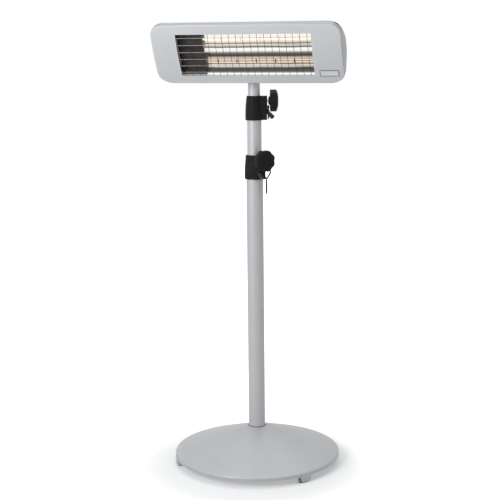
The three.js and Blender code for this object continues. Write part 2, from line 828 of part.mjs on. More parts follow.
function shellSection(depth, halfX, halfZ, cornerX, cornerZ, inset) {
  return roundedRect(halfX - inset, halfZ - inset, cornerX - inset, 6, cornerZ - inset)
    .getPoints(1)
    .slice(0, -1)
    .map((p) => [p.x, depth, p.y]);
}

function rearTub() {
  const front = rimBackDepth + gap;
  const turn = front + shellStraight;
  const middle = (turn + shellDepth) / 2;
  const midLength = (headHalfLength + shellBackHalfLength) / 2;
  const midLong = (headCornerLong + shellBackCorner) / 2;
  const midTall = (headCornerTall + shellBackCorner) / 2;
  const skin = (inset, start, end) =>
    loft([
      shellSection(start, headHalfLength, headHalfHeight, headCornerLong, headCornerTall, inset),
      shellSection(turn, headHalfLength, headHalfHeight, headCornerLong, headCornerTall, inset),
      shellSection(middle, midLength, shellMidHalfHeight, midLong, midTall, inset),
      shellSection(end, shellBackHalfLength, shellBackHalfHeight, shellBackCorner, shellBackCorner, inset),
    ]);
  return skin(0, front, shellDepth).subtract(skin(shellWall, front - 5, shellDepth - shellWall));
}

// A sheet on a grid of lines, left open in some cells: behind(z) is its back's depth.
function gridSheet(xs, zs, isOpen, thickness, behind) {
  const nx = xs.length;
  const nz = zs.length;
  const positions = [];
  for (const layer of [-thickness, 0]) {
    for (const z of zs) for (const x of xs) positions.push(x, behind(z) + layer, z);
  }
  const at = (layer, i, k) => layer * nx * nz + k * nx + i;
  const index = [];
  const quad = (a, b, c, d) => index.push(a, b, c, a, c, d);
  const full = (i, k) => i >= 0 && k >= 0 && i < nx - 1 && k < nz - 1 && !isOpen(i, k);
  for (let k = 0; k < nz - 1; k++) {
    for (let i = 0; i < nx - 1; i++) {
      if (!full(i, k)) continue;
      quad(at(0, i, k), at(0, i + 1, k), at(0, i + 1, k + 1), at(0, i, k + 1));
      quad(at(1, i, k), at(1, i, k + 1), at(1, i + 1, k + 1), at(1, i + 1, k));
      if (!full(i, k - 1)) quad(at(0, i, k), at(1, i, k), at(1, i + 1, k), at(0, i + 1, k));
      if (!full(i, k + 1)) {
        quad(at(0, i + 1, k + 1), at(1, i + 1, k + 1), at(1, i, k + 1), at(0, i, k + 1));
      }
      if (!full(i - 1, k)) quad(at(0, i, k + 1), at(1, i, k + 1), at(1, i, k), at(0, i, k));
      if (!full(i + 1, k)) {
        quad(at(0, i + 1, k), at(1, i + 1, k), at(1, i + 1, k + 1), at(0, i + 1, k + 1));
      }
    }
  }
  const geometry = new THREE.BufferGeometry();
  geometry.setAttribute("position", new THREE.Float32BufferAttribute(positions, 3));
  geometry.setIndex(index);
  return solid(geometry);
}

// The lines on both sides of each wire, with the frame's outer and inner edges at the ends.
function wireLines(start, end, frame, centres) {
  const lines = [start, start + frame];
  for (const c of centres) lines.push(c - wire / 2, c + wire / 2);
  lines.push(end - frame, end);
  return lines;
}

function grille() {
  const frame = grilleOverlap - 1;
  const columns = [];
  const first = windowLeft + meshPitchX * 0.6;
  for (let x = first; x < windowRight - meshPitchX * 0.3; x += meshPitchX) columns.push(x);
  const rows = Array.from({ length: meshRows }, (_, k) => meshTopZ - meshPitchZ * (meshRows - 1 - k));
  const halfZ = windowHalfHeight + grilleOverlap;
  const xs = wireLines(windowLeft - grilleOverlap, windowRight + grilleOverlap, frame, columns);
  const zs = wireLines(-halfZ, halfZ, frame, rows);
  const isOpen = (i, k) => i % 2 === 1 && k % 2 === 1;
  return gridSheet(xs, zs, isOpen, wire, (z) => arcDepth(z) + bezelWall + gap + wire);
}

function reflector() {
  const vertex = lampDepth + reflectorFocus;
  const trough = (z) => vertex - (Math.abs(z) - lampZ) ** 2 / (4 * reflectorFocus);
  const edgeZ = lampZ + reflectorHalfTrough;
  const frontY = arcDepth(edgeZ) + bezelWall + 2 * gap + wire;
  const steps = 28;
  const face = [];
  for (let i = 0; i <= steps; i++) {
    const z = -edgeZ + (2 * edgeZ * i) / steps;
    face.push([trough(z), z]);
  }
  const back = face.map(([y, z]) => [y + reflectorSheet, z]);
  back[0][1] -= reflectorSheet;
  back[steps][1] += reflectorSheet;
  const outline = [
    [frontY, -edgeZ],
    ...face,
    [frontY, edgeZ],
    [frontY, edgeZ + reflectorSheet],
    ...back.reverse(),
    [frontY, -edgeZ - reflectorSheet],
  ];
  return sideProfile(outline, reflectorLeft, reflectorRight);
}

const lampAt = (z) => along([0, lampDepth, z], [1, 0, 0]);

function lampHolder() {
  const end = holderStart + holderThick;
  const bar = block(holderStart, end, holderFrontDepth, holderStemDepth, -holderHalfBar, holderHalfBar);
  const backDepth = shellDepth - shellWall - gap;
  const stem = block(holderStart, end, holderStemDepth - 1, backDepth, -holderHalfStem, holderHalfStem);
  const seat = (z) => placed(rod(lampR + gap, holderStart - 5, lampHalfLength + gap), lampAt(z));
  return bar.add(stem).subtract(seat(lampZ)).subtract(seat(-lampZ));
}

function cableGland() {
  const inside = shellDepth - glandInLength;
  const outside = shellDepth + gap;
  const end = outside + glandOutLength;
  const body = turned(
    [
      [glandBoreR, inside],
      [glandR, inside],
      [glandR, outside],
      [glandFlangeR, outside],
      [glandFlangeR, outside + 7],
      [glandFlangeR - 1.5, outside + 8],
      [glandFlangeR - 1.5, end - 3],
      [glandFlangeR - 4, end],
      [glandBoreR, end],
    ],
    smallSides,
  );
  return placed(body, along([glandX, 0, 0], [0, 1, 0]));
}

function nameplate() {
  const corner = 2.5;
  const flat = roundedRect(plateSize.x / 2, plateSize.z / 2, corner, 3);
  return frontProfile(flat, -plateSize.y, 0);
}

// The bracket's frame has its origin on the tilt axis.
function headBracket() {
  const back = -(pivotDepth - shellDepth) + gap;
  const outline = [[back + bracketPlate - 1, -bracketHalfHeight * 0.7]];
  const steps = 12;
  for (let i = 0; i <= steps; i++) {
    const a = rad(-75 + (150 * i) / steps);
    outline.push([tongueR * Math.cos(a), tongueR * Math.sin(a)]);
  }
  outline.push([back + bracketPlate - 1, bracketHalfHeight * 0.7]);
  const tongue = sideProfile(outline, -tongueHalf, tongueHalf);
  const flat = roundedRect(bracketHalfLength, bracketHalfHeight, 5, 4);
  const plate = frontProfile(flat, back, back + bracketPlate);
  let body = plate.add(tongue).subtract(placed(rod(boltR + runGap, -20, 20), along([0, 0, 0], [1, 0, 0])));
  for (const side of [-1, 1]) {
    const hole = rod(bracketScrewR + gap, back - 5, back + bracketPlate + 5);
    body = body.subtract(placed(hole, along([side * bracketScrewX, 0, 0], [0, 1, 0])));
  }
  return body;
}

function bracketScrew() {
  const seat = -(pivotDepth - shellDepth) + 2 * gap + bracketPlate;
  return turned(
    [
      [0, seat - bracketScrewLength],
      [bracketScrewR, seat - bracketScrewLength],
      [bracketScrewR, seat],
      [bracketScrewHeadR, seat],
      [bracketScrewHeadR, seat + 4],
      [bracketScrewHeadR - 1, seat + 5],
      [0, seat + 5],
    ],
    smallSides,
  );
}

function buildHead() {
  const head = new THREE.Group();
  head.position.set(0, pivotY, pivotZ);
  head.rotation.x = rad(restTiltDeg);
  root.add(head);
  const housing = new THREE.Group();
  housing.position.set(headOffsetX, -pivotDepth, 0);
  head.add(housing);

  let tub = rearTub();
  const backHole = (x, r) => placed(rod(r, shellDepth - 10, shellDepth + 5), along([x, 0, 0], [0, 1, 0]));
  for (const side of [-1, 1]) {
    tub = tub.subtract(backHole(side * bracketScrewX - headOffsetX, bracketScrewR + gap));
  }
  tub = tub.subtract(backHole(glandX, glandR + gap));
  const far = headHalfLength + 10;
  const tall = headHalfHeight + 5;
  const slice = (x0, x1) => tub.intersect(block(x0, x1, 0, shellDepth + 10, -tall, tall));
  add(housing, "bezel", bezel(), facePaint);
  add(housing, "rear_shell", slice(-capSeamX, capSeamX), silverPaint);
  add(housing, "end_cap_left", slice(-far, -capSeamX - gap), silverPaint);
  add(housing, "end_cap_right", slice(capSeamX + gap, far), silverPaint);
  add(housing, "grille", grille(), steel);
  add(housing, "reflector", reflector(), polished);
  add(housing, "lamp_upper", placed(rod(lampR, -lampHalfLength, lampHalfLength), lampAt(lampZ)), quartz);
  add(housing, "lamp_lower", placed(rod(lampR, -lampHalfLength, lampHalfLength), lampAt(-lampZ)), quartz);
  add(housing, "lamp_holder_right", lampHolder(), ceramic);
  const mirrored = lampHolder().mirror([1, 0, 0]);
  add(housing, "lamp_holder_left", mirrored, ceramic);
  const backDepth = shellDepth - shellWall - gap;
  add(
    housing,
    "terminal_block",
    block(
      terminalX - terminalSize.x / 2,
      terminalX + terminalSize.x / 2,
      backDepth - terminalSize.y,
      backDepth,
      -terminalSize.z / 2,
      terminalSize.z / 2,
    ),
    ceramic,
  );
  add(housing, "cable_gland", cableGland(), blackPlastic);
  const tag = add(housing, "nameplate", nameplate(), bareTag);
  tag.position.set(plateCentre.x, arcDepth(plateCentre.z) - 2 * gap, plateCentre.z);
  tag.rotation.x = -Math.asin(plateCentre.z / faceArcR);

  add(head, "head_bracket", headBracket(), steel);
  add(head, "bracket_screw_left", placed(bracketScrew(), along([-bracketScrewX, 0, 0], [0, 1, 0])), steel);
  add(head, "bracket_screw_right", placed(bracketScrew(), along([bracketScrewX, 0, 0], [0, 1, 0])), steel);
}

buildBase();
buildMast();
buildCollar("lower", lowerCollarZ, lowerCollarDeg, lowerTubeR, midTubeR, false);
buildCollar("upper", upperCollarZ, upperCollarDeg, midTubeR, topTubeR, true);
buildTiltJoint();
buildHead();

export default root;
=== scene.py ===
"""Infrared patio heater on a telescopic mast: the visible pieces, in millimetres in the source."""
import json
from math import asin, cos, dist, hypot, pi, radians, sin, sqrt, tan

import bmesh
import bpy
from mathutils import Matrix, Vector

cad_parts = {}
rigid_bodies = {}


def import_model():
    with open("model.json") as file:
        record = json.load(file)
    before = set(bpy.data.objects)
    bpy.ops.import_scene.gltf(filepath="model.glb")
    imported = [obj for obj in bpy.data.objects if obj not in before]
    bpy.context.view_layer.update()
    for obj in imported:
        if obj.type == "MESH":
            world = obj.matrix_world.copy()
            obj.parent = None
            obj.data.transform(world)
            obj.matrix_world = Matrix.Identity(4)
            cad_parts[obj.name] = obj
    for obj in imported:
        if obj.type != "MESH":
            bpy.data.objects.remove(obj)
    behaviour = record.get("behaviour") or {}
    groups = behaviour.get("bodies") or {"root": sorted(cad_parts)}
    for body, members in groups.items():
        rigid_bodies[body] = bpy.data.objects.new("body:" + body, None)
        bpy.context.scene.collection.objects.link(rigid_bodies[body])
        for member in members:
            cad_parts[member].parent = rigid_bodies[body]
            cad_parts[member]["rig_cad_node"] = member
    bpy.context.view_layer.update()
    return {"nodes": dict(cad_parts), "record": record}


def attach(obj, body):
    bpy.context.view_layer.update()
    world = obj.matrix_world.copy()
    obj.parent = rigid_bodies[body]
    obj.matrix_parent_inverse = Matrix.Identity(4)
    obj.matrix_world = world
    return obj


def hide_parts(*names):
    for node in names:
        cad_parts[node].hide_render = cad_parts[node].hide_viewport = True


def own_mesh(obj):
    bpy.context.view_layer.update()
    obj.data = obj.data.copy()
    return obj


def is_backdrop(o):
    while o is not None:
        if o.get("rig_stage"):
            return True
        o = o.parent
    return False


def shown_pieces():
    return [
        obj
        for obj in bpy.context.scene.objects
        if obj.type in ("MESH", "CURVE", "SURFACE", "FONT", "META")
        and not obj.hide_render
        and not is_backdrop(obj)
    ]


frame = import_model()
scene = bpy.context.scene
nodes = frame["nodes"]

MM = 0.001
GAP = 0.3

# ---------------- driving dimensions, as in the part's source
BASE_R, RIM_BOTTOM, RIM_HEIGHT, CONE_RISE, COVER_WALL, GROMMET_WALL = 250, 20, 10, 78, 2, 1.2
TUBE_WALL, LOWER_R, MID_R, TOP_R = 2, 25, 21, 17.5
LOWER_BOTTOM, MID_BOTTOM, TOP_BOTTOM, TOP_END = 29.6, 250, 330, 1243
COLLARS = {
    "lower": {"z": 866, "deg": -44, "outer": LOWER_R, "body": "base", "knob_turn": 22.5},
    "upper": {"z": 1039.5, "deg": 16, "outer": MID_R, "body": "mid_mast", "knob_turn": 0},
}
COLLAR_SEAT = 34
BARREL_Z, BARREL_HALF = 33, 35
BLOCK_REACH, BLOCK_HALF_WIDTH = 38.5, 17
SCREW_Z, KNOB_START, KNOB_FACE, KNOB_END, KNOB_R, NECK_R = 56.5, 42, 47, 71.5, 32.2, 9
KNOB_LOBES = 8
CATCH_SIDE, CATCH_Z, CATCH_START, CATCH_LENGTH, CATCH_R, CATCH_TRAVEL = -9, 24, 4.8, 20, 6.4, 3.5
RING_SIDE, RING_PLANE, RING_WIRE, RING_R, RING_Z, RING_TIP_R, RING_TIP_Z = 15.2, 42, 1.5, 13.3, 27.4, 3.5, 7
RING_STRAND, RING_WAIST_Z = 2.1, 22.5
PIN_R, PIN_LENGTH, PIN_HOLE_Z, PIN_OFFSET, EYE_R, EYE_HOLE_R = 2.5, 44, 14, 6, 4.2, 2.6
PIVOT_Y, PIVOT_Z, TILT_DEG, PIVOT_DEPTH, HEAD_X = -26, 1270, 27.8, 92, 7.5
EAR_OUTER, TILT_KNOB_R, TILT_NECK_R, TILT_KNOB_LENGTH = 14.6, 17, 9, 20
HEAD_HALF_X, HEAD_HALF_Z, CORNER_LONG, CORNER_TALL, ARC_R = 277, 94, 45, 35, 460
BEZEL_WALL, BEZEL_EDGE, RIM_DEPTH, TOP_SQUARE = 2, 2.2, 13, 0.82
SHELL_DEPTH, SHELL_HALF_X, SHELL_HALF_Z, SHELL_MID_Z, SHELL_CORNER, CAP_SEAM_X = 66, 277, 36, 70, 25, 236
SHELL_WALL, SHELL_ROUND, SHELL_TURN, CAP_REACH = 2, 3, 4, 5
PLATE_X, PLATE_Z, PLATE_HALF_X, PLATE_HALF_Z = 234.3, -58, 27, 10
WINDOW_LEFT, WINDOW_RIGHT, WINDOW_HALF_Z = -202.8, 192.3, 66.2
MESH_X, MESH_Z, MESH_TOP, MESH_ROWS, WIRE_R = 20.6, 21.84, 54.1, 6, 1.0
LAMP_Z, LAMP_DEPTH, LAMP_R, LAMP_HALF = 35.5, 37, 5.5, 212
FOCUS, HALF_TROUGH, REFLECTOR_LEFT, REFLECTOR_RIGHT = 14, 33, -131.5, 200
FOOT_DEGS, FOOT_HALF_WIDTH, FOOT_INNER, FOOT_BOTTOM, FOOT_TOP = (-40, -152, 84), 17, 232, 2.5, 29
FOOT_CORNER, FOOT_LIP = 6, 1.1
GLIDER_RADIUS, GLIDER_AXIS_R, GLIDER_AXIS_Z, GLIDER_PROUD = 7, 241, 6.6, 0.6
SEAM_SHADE_FROM, SEAM_SHADE_SPAN = 34, 30
CREASE_X, CREASE_Z, CREASE_RUN, CREASE_RISE = 199.5, 71.8, 10, 7.9
SHEET, COIL_PITCH, COIL_WIRE = 0.8, 3.4, 1.1


def add_object(name, data, place=None):
    made = bpy.data.objects.new(name, data)
    scene.collection.objects.link(made)
    if place is not None:
        made.matrix_world = place
    return made


# ---------------- camera
CAMERA_AZIMUTH, CAMERA_DISTANCE, CAMERA_HEIGHT = 15.389, 3469.3, 1270.2
CAMERA_YAW, CAMERA_PITCH, CAMERA_ROLL = 0.258, 9.141, -0.582
CAMERA_LENS, CAMERA_SHIFT = 84.755, -0.04


def make_camera():
    data = bpy.data.cameras.new("camera")
    data.lens, data.sensor_width, data.shift_y = CAMERA_LENS, 36, CAMERA_SHIFT
    data.clip_start, data.clip_end = 0.1, 50
    psi, turn = radians(CAMERA_AZIMUTH), radians(CAMERA_AZIMUTH + CAMERA_YAW)
    pitch, roll = radians(CAMERA_PITCH), radians(CAMERA_ROLL)
    ahead = Vector((-sin(turn) * cos(pitch), cos(turn) * cos(pitch), -sin(pitch)))
    level = Vector((cos(turn), sin(turn), 0))
    right = level * cos(roll) + level.cross(ahead) * sin(roll)
    up = right.cross(ahead)
    where = Vector((CAMERA_DISTANCE * sin(psi), -CAMERA_DISTANCE * cos(psi), CAMERA_HEIGHT)) * MM
    scene.camera = add_object("camera", data, Matrix((
        (right.x, up.x, -ahead.x, where.x),
        (right.y, up.y, -ahead.y, where.y),
        (right.z, up.z, -ahead.z, where.z),
        (0, 0, 0, 1),
    )))


make_camera()
scene.view_settings.view_transform = "Standard"


# ---------------- light, floor and background
WORLD_FILL, WORLD_TINT = 0.52, (0.97, 0.985, 1)
FLOOR_HALF, FLOOR_LIFT, FLOOR_WHITE, FLOOR_DULL = 9, 0.11, (0.9, 0.9, 0.9), (0.6, 0.6, 0.6)
SHADOW_CENTRE, SHADOW_FROM, SHADOW_TO = (-0.006, -0.053), 0.25, 0.60


def area_light(name, place, aim, size, power):
    data = bpy.data.lights.new(name, "AREA")
    data.shape, data.size, data.size_y, data.energy = "RECTANGLE", size[0], size[1], power
    lamp = add_object(name, data)
    lamp.location = place
    lamp.rotation_mode = "QUATERNION"
    lamp.rotation_quaternion = (Vector(aim) - Vector(place)).to_track_quat("-Z", "Y")


def make_nodes(owner, *kinds):
    """Empties an owner's node tree and puts new nodes in it."""
    owner.use_nodes = True
    tree = owner.node_tree
    tree.nodes.clear()
    return tree.links.new, [tree.nodes.new(kind) for kind in kinds]


def set_range(node, start, end, low=0.0, high=1.0):
    for key, value in (("From Min", start), ("From Max", end), ("To Min", low), ("To Max", high)):
        node.inputs[key].default_value = value


def make_world():
    """A pale fill light that shows as plain white to the camera, and in metal and glass."""
    world = bpy.data.worlds.new("studio")
    scene.world = world
    link, (out, rays, seen, fill, first, second, mix) = make_nodes(
        world, "ShaderNodeOutputWorld", "ShaderNodeLightPath", "ShaderNodeBackground",
        "ShaderNodeBackground", "ShaderNodeMath", "ShaderNodeMath", "ShaderNodeMixShader")
    seen.inputs["Color"].default_value = (1, 1, 1, 1)
    fill.inputs["Color"].default_value = (*WORLD_TINT, 1)
    fill.inputs["Strength"].default_value = WORLD_FILL
    first.operation = second.operation = "MAXIMUM"
    link(rays.outputs["Is Camera Ray"], first.inputs[0])
    link(rays.outputs["Is Glossy Ray"], first.inputs[1])
    link(first.outputs[0], second.inputs[0])
    link(rays.outputs["Is Transmission Ray"], second.inputs[1])
    link(second.outputs[0], mix.inputs["Fac"])
    link(fill.outputs[0], mix.inputs[1])
    link(seen.outputs[0], mix.inputs[2])
    link(mix.outputs[0], out.inputs["Surface"])


def make_floor():
    """White ground that keeps the shadow round the base and fades to plain white further out."""
    half = FLOOR_HALF
    corners = [(-half, -half, 0), (half, -half, 0), (half, half, 0), (-half, half, 0)]
    mesh = bpy.data.meshes.new("floor")
    mesh.from_pydata(corners, [], [(0, 1, 2, 3)])
    floor = add_object("floor", mesh)
    surface = bpy.data.materials.new("floor")
    link, made = make_nodes(
        surface, "ShaderNodeOutputMaterial", "ShaderNodeLightPath", "ShaderNodeBsdfDiffuse",
        "ShaderNodeBsdfDiffuse", "ShaderNodeEmission", "ShaderNodeTexCoord", "ShaderNodeVectorMath",
        "ShaderNodeMapRange", "ShaderNodeAddShader", "ShaderNodeEmission", "ShaderNodeMath",
        "ShaderNodeMixShader", "ShaderNodeMixShader")
    out, rays, dull, bright, lift, where, reach, fade, both, white, mirror, direct, shown = made
    dull.inputs["Color"].default_value = (*FLOOR_DULL, 1)
    bright.inputs["Color"].default_value = (*FLOOR_WHITE, 1)
    reach.operation = "DISTANCE"
    reach.inputs[1].default_value = (*SHADOW_CENTRE, 0)
    fade.interpolation_type = "SMOOTHSTEP"
    set_range(fade, SHADOW_FROM, SHADOW_TO, FLOOR_LIFT, 1.0)
    mirror.operation = "MAXIMUM"
    link(where.outputs["Object"], reach.inputs[0])
    link(reach.outputs["Value"], fade.inputs["Value"])
    link(fade.outputs[0], lift.inputs["Strength"])
    link(bright.outputs[0], both.inputs[0])
    link(lift.outputs[0], both.inputs[1])
    link(rays.outputs["Is Camera Ray"], direct.inputs["Fac"])
    link(dull.outputs[0], direct.inputs[1])
    link(both.outputs[0], direct.inputs[2])
    link(rays.outputs["Is Glossy Ray"], mirror.inputs[0])
    link(rays.outputs["Is Transmission Ray"], mirror.inputs[1])
    link(mirror.outputs[0], shown.inputs["Fac"])
    link(direct.outputs[0], shown.inputs[1])
    link(white.outputs[0], shown.inputs[2])
    link(shown.outputs[0], out.inputs["Surface"])
    mesh.materials.append(surface)
    floor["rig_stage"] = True


make_world()
make_floor()
area_light("key", (-1.1, -2.12, 1.65), (0, 0, 1.15), (1.3, 1.3), 33)
area_light("top", (0, 0.6, 4.2), (0, 0, 0.3), (3, 3), 37)


# ---------------- materials
NOISE_LOW, NOISE_HIGH = 0.3, 0.7


class Shader:
    """A material with a Principled shader that the object's own coordinates drive."""

    def __init__(self, name, color, rough, metal=0.0, **sockets):
        self.material = bpy.data.materials.new(name)
        self.material.use_nodes = True
        self.tree = self.material.node_tree
        self.shader = self.tree.nodes["Principled BSDF"]
        self.shader.inputs["Base Color"].default_value = (*color, 1)
        self.shader.inputs["Roughness"].default_value = rough
        self.shader.inputs["Metallic"].default_value = metal
        for key, value in sockets.items():
            self.shader.inputs[key.replace("_", " ")].default_value = value
        self.color = color
        self.where = self.node("ShaderNodeTexCoord").outputs["Object"]

    def node(self, kind, **values):
        made = self.tree.nodes.new(kind)
        for key, value in values.items():
            setattr(made, key, value)
        return made

    def link(self, source, target):
        self.tree.links.new(source, target)

    def axis(self, source, name):
        split = self.node("ShaderNodeSeparateXYZ")
        self.link(source, split.inputs[0])
        return split.outputs[name]

    def calc(self, operation, *terms):
        """A sum whose terms are plain numbers or sockets."""
        made = self.node("ShaderNodeMath", operation=operation)
        for socket, term in zip(made.inputs, terms):
            if isinstance(term, (int, float)):
                socket.default_value = term
            else:
                self.link(term, socket)
        return made.outputs[0]

    def map_range(self, source, start, end, low=0.0, high=1.0):
        made = self.node("ShaderNodeMapRange")
        set_range(made, start, end, low, high)
        self.link(source, made.inputs["Value"])
        return made.outputs[0]

    def noise(self, scale, detail=3.0, rough=0.55, stretch=(1, 1, 1)):
        spread = self.node("ShaderNodeMapping")
        spread.inputs["Scale"].default_value = stretch
        self.link(self.where, spread.inputs["Vector"])
        made = self.node("ShaderNodeTexNoise")
        made.inputs["Scale"].default_value = scale
        made.inputs["Detail"].default_value = detail
        made.inputs["Roughness"].default_value = rough
        self.link(spread.outputs[0], made.inputs["Vector"])
        return made.outputs["Fac"]

    def ramp(self, source, stops):
        made = self.node("ShaderNodeValToRGB")
        band = made.color_ramp
        while len(band.elements) < len(stops):
            band.elements.new(0.5)
        for element, (place, color) in zip(band.elements, stops):
            element.position = place
            element.color = (*color, 1)
        self.link(source, made.inputs["Fac"])
        return made.outputs["Color"]

    # Emission: the lamps' own glow, and painted light on parts that are no lamp.
    def lamp_glow_and_painted_light(self, color):
        self.link(color, self.shader.inputs["Emission Color"])
        self.shader.inputs["Emission Strength"].default_value = 1.0

    def tint(self, source, low, high):
        """The base colour times low where source is small and times high where it is large."""
        stops = [(NOISE_LOW, [c * low for c in self.color]), (NOISE_HIGH, [c * high for c in self.color])]
        self.link(self.ramp(source, stops), self.shader.inputs["Base Color"])

    def roughen(self, source, low, high):
        self.link(self.map_range(source, NOISE_LOW, NOISE_HIGH, low, high), self.shader.inputs["Roughness"])

    def bump(self, source, distance_mm, strength=1.0):
        made = self.node("ShaderNodeBump")
        made.inputs["Strength"].default_value = strength
        made.inputs["Distance"].default_value = distance_mm * MM
        self.link(source, made.inputs["Height"])
        self.link(made.outputs[0], self.shader.inputs["Normal"])

    def cover(self, share, color):
        """Mixes a colour over what drives the base colour."""
        mix = self.node("ShaderNodeMix", data_type="RGBA")
        base = self.shader.inputs["Base Color"]
        self.link(share, mix.inputs["Factor"])
        self.link(base.links[0].from_socket, mix.inputs["A"])
        mix.inputs["B"].default_value = (*color, 1)
        self.link(mix.outputs["Result"], base)

    def sides(self, color):
        """Painted shade: another colour on the surfaces that don't face along the object's Y."""
        facing = self.calc("ABSOLUTE", self.axis(self.node("ShaderNodeTexCoord").outputs["Normal"], "Y"))
        self.cover(self.map_range(facing, 0.78, 0.92, 1.0, 0.0), color)

    def worn(self, source, color, amount):
        """A wear colour on the edges that stand out."""
        edge = self.node("ShaderNodeNewGeometry").outputs["Pointiness"]
        sharp = self.map_range(edge, 0.53, 0.62, 0.0, amount)
        self.cover(self.calc("MULTIPLY", sharp, source), color)


def powder_coat(name, color, rough, metal, side_shade_color=None):
    """Powder coat with a fine orange peel and a faint cloudiness. The sides may carry a painted shade
    colour.
    """
    made = Shader(name, color, rough, metal)
    made.tint(made.noise(9, 4), 0.975, 1.02)
    if side_shade_color:
        made.sides(side_shade_color)
    made.roughen(made.noise(60, 5), rough - 0.05, rough + 0.06)
    made.worn(made.noise(300, 3), [min(1, c * 1.35) for c in color], 0.35)
    made.bump(made.noise(1500, 2, 0.5), 0.05, 0.5)
    return made.material


def moulded(name, color, rough, grain, depth, gloss=0.5):
    """Moulded plastic or rubber with a fine eroded grain and slightly polished edges."""
    made = Shader(name, color, rough, Specular_IOR_Level=gloss)
    made.tint(made.noise(35, 4), 0.85, 1.18)
    made.roughen(made.noise(220, 4), rough - 0.08, rough + 0.08)
    made.worn(made.noise(160, 4), [c * 2.2 + 0.01 for c in color], 0.5)
    made.bump(made.noise(grain, 3, 0.6), depth, 0.6)
    return made.material


def bare_metal(name, color, rough, stretch=(1, 1, 1), scale=120, depth=0.02):
    """Plated or bright metal with the drawing lines left by its making."""
    made = Shader(name, color, rough, 1.0)
    lines = made.noise(scale, 5, 0.6, stretch)
    made.tint(lines, 0.86, 1.08)
    made.roughen(lines, max(0.04, rough - 0.08), rough + 0.12)
    made.bump(lines, depth, 0.4)
    return made.material


silver = powder_coat("silver_paint", (0.515, 0.522, 0.538), 0.46, 0.3)
# A darker copy of the silver paint for the base cover and saddles: painted shade.
base_shade_coat = powder_coat("base_shade_paint", (0.475, 0.482, 0.496), 0.46, 0.3)
# The face paint's rim and top strip take a darker colour here: painted shade.
face = powder_coat("face_paint", (0.60, 0.615, 0.63), 0.42, 0.3, (0.375, 0.385, 0.40))
# A darker copy of the silver paint for the rear shell and end caps: painted shade.
shell_shade_paint = powder_coat("shell_shade_paint", (0.44, 0.45, 0.468), 0.46, 0.3)
black = moulded("black_plastic", (0.010, 0.010, 0.011), 0.6, 1800, 0.06, 0.14)
rubber = moulded("black_rubber", (0.009, 0.009, 0.010), 0.8, 900, 0.12, 0.2)
black_steel = bare_metal("black_steel", (0.035, 0.035, 0.038), 0.42)
grip_grey = moulded("grip_grey", (0.03, 0.03, 0.031), 0.6, 900, 0.06, 0.3)
button_grey = moulded("button_grey", (0.12, 0.12, 0.125), 0.6, 900, 0.06, 0.3)
seal_grey = moulded("seal_grey", (0.14, 0.14, 0.144), 0.8, 900, 0.12, 0.2)
foot_grey = moulded("foot_grey", (0.38, 0.385, 0.39), 0.6, 900, 0.06, 0.3)
zinc = bare_metal("zinc_steel", (0.62, 0.63, 0.65), 0.3)
brass = bare_metal("brass", (0.62, 0.42, 0.17), 0.3)
iron = bare_metal("cast_iron", (0.07, 0.07, 0.072), 0.75, scale=500, depth=0.4)
nylon = moulded("nylon", (0.68, 0.66, 0.6), 0.55, 700, 0.05)
ceramic = moulded("ceramic", (0.72, 0.68, 0.6), 0.6, 900, 0.08)
tag = bare_metal("plate_silver", (0.66, 0.68, 0.71), 0.34, stretch=(1, 1, 30), scale=60)

CAD_FINISH = {
    "silver_paint": silver, "face_paint": face, "black_plastic": black, "black_rubber": rubber,
    "zinc_steel": zinc, "black_steel": black_steel, "brass": brass, "cast_iron": iron,
    "nylon": nylon, "ceramic": ceramic, "plate_silver": tag, "polished_aluminium": zinc, "quartz": ceramic,
}
for entry in frame["record"]["subparts"]:
    cad = nodes[entry["node"]]
    cad.data.materials.clear()
    cad.data.materials.append(CAD_FINISH[entry["material_slot"]])


# ---------------- mesh helpers
def shade(mesh, sharp_deg):
    mesh.shade_smooth()
    mesh.set_sharp_from_angle(angle=radians(sharp_deg))


def dress(made, body, material, slot, *stands_for):
    made.data.materials.clear()
    made.data.materials.append(material)
    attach(made, body)
    if stands_for:
        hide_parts(*stands_for)


def piece(name, shape, place, sharp_deg, body, material, slot, *stands_for):
    """A dressed object from a shape's points, in millimetres, and its faces."""
    verts, faces = shape
    mesh = bpy.data.meshes.new(name)
    mesh.from_pydata([tuple(c * MM for c in v) for v in verts], [], faces)
    bm = bmesh.new()
    bm.from_mesh(mesh)
    bmesh.ops.remove_doubles(bm, verts=bm.verts, dist=1e-7)
    bmesh.ops.recalc_face_normals(bm, faces=bm.faces)
    bm.to_mesh(mesh)
    bm.free()
    shade(mesh, sharp_deg)
    dress(add_object(name, mesh, place), body, material, slot, *stands_for)


def skin(sections, closed=False, capped=True):
    """Quads between sections that have the same number of points, with caps or joined end to end."""
    n = len(sections[0])
    verts = [tuple(p) for s in sections for p in s]
    count = len(sections)
    faces = []
    for s in range(count if closed else count - 1):
        a, b = s * n, (s + 1) % count * n
        faces += [(a + i, a + (i + 1) % n, b + (i + 1) % n, b + i) for i in range(n)]
    if capped and not closed:
        faces.append(tuple(range(n - 1, -1, -1)))
        faces.append(tuple(range((count - 1) * n, count * n)))
    return verts, faces


def fillet(corners, steps=5, closed=True):
    """An outline whose corners (a, b, radius) are rounded."""
    out = []
    n = len(corners)
    for i, corner in enumerate(corners):
        here, radius = Vector(corner[:2]), corner[2] if len(corner) > 2 else 0
        if not radius or (not closed and i in (0, n - 1)):
            out.append(tuple(here))
            continue
        to_last = (Vector(corners[i - 1][:2]) - here).normalized()
        to_next = (Vector(corners[(i + 1) % n][:2]) - here).normalized()
        half = to_last.angle(to_next) / 2
        reach = radius / tan(half)
        centre = here + (to_last + to_next).normalized() * (radius / sin(half))
        start, end = here + to_last * reach - centre, here + to_next * reach - centre
        whole = start.angle_signed(end)
        for k in range(steps + 1):
            turned = start.copy()
            turned.rotate(Matrix.Rotation(-whole * k / steps, 2))
            out.append(tuple(centre + turned))
    return out


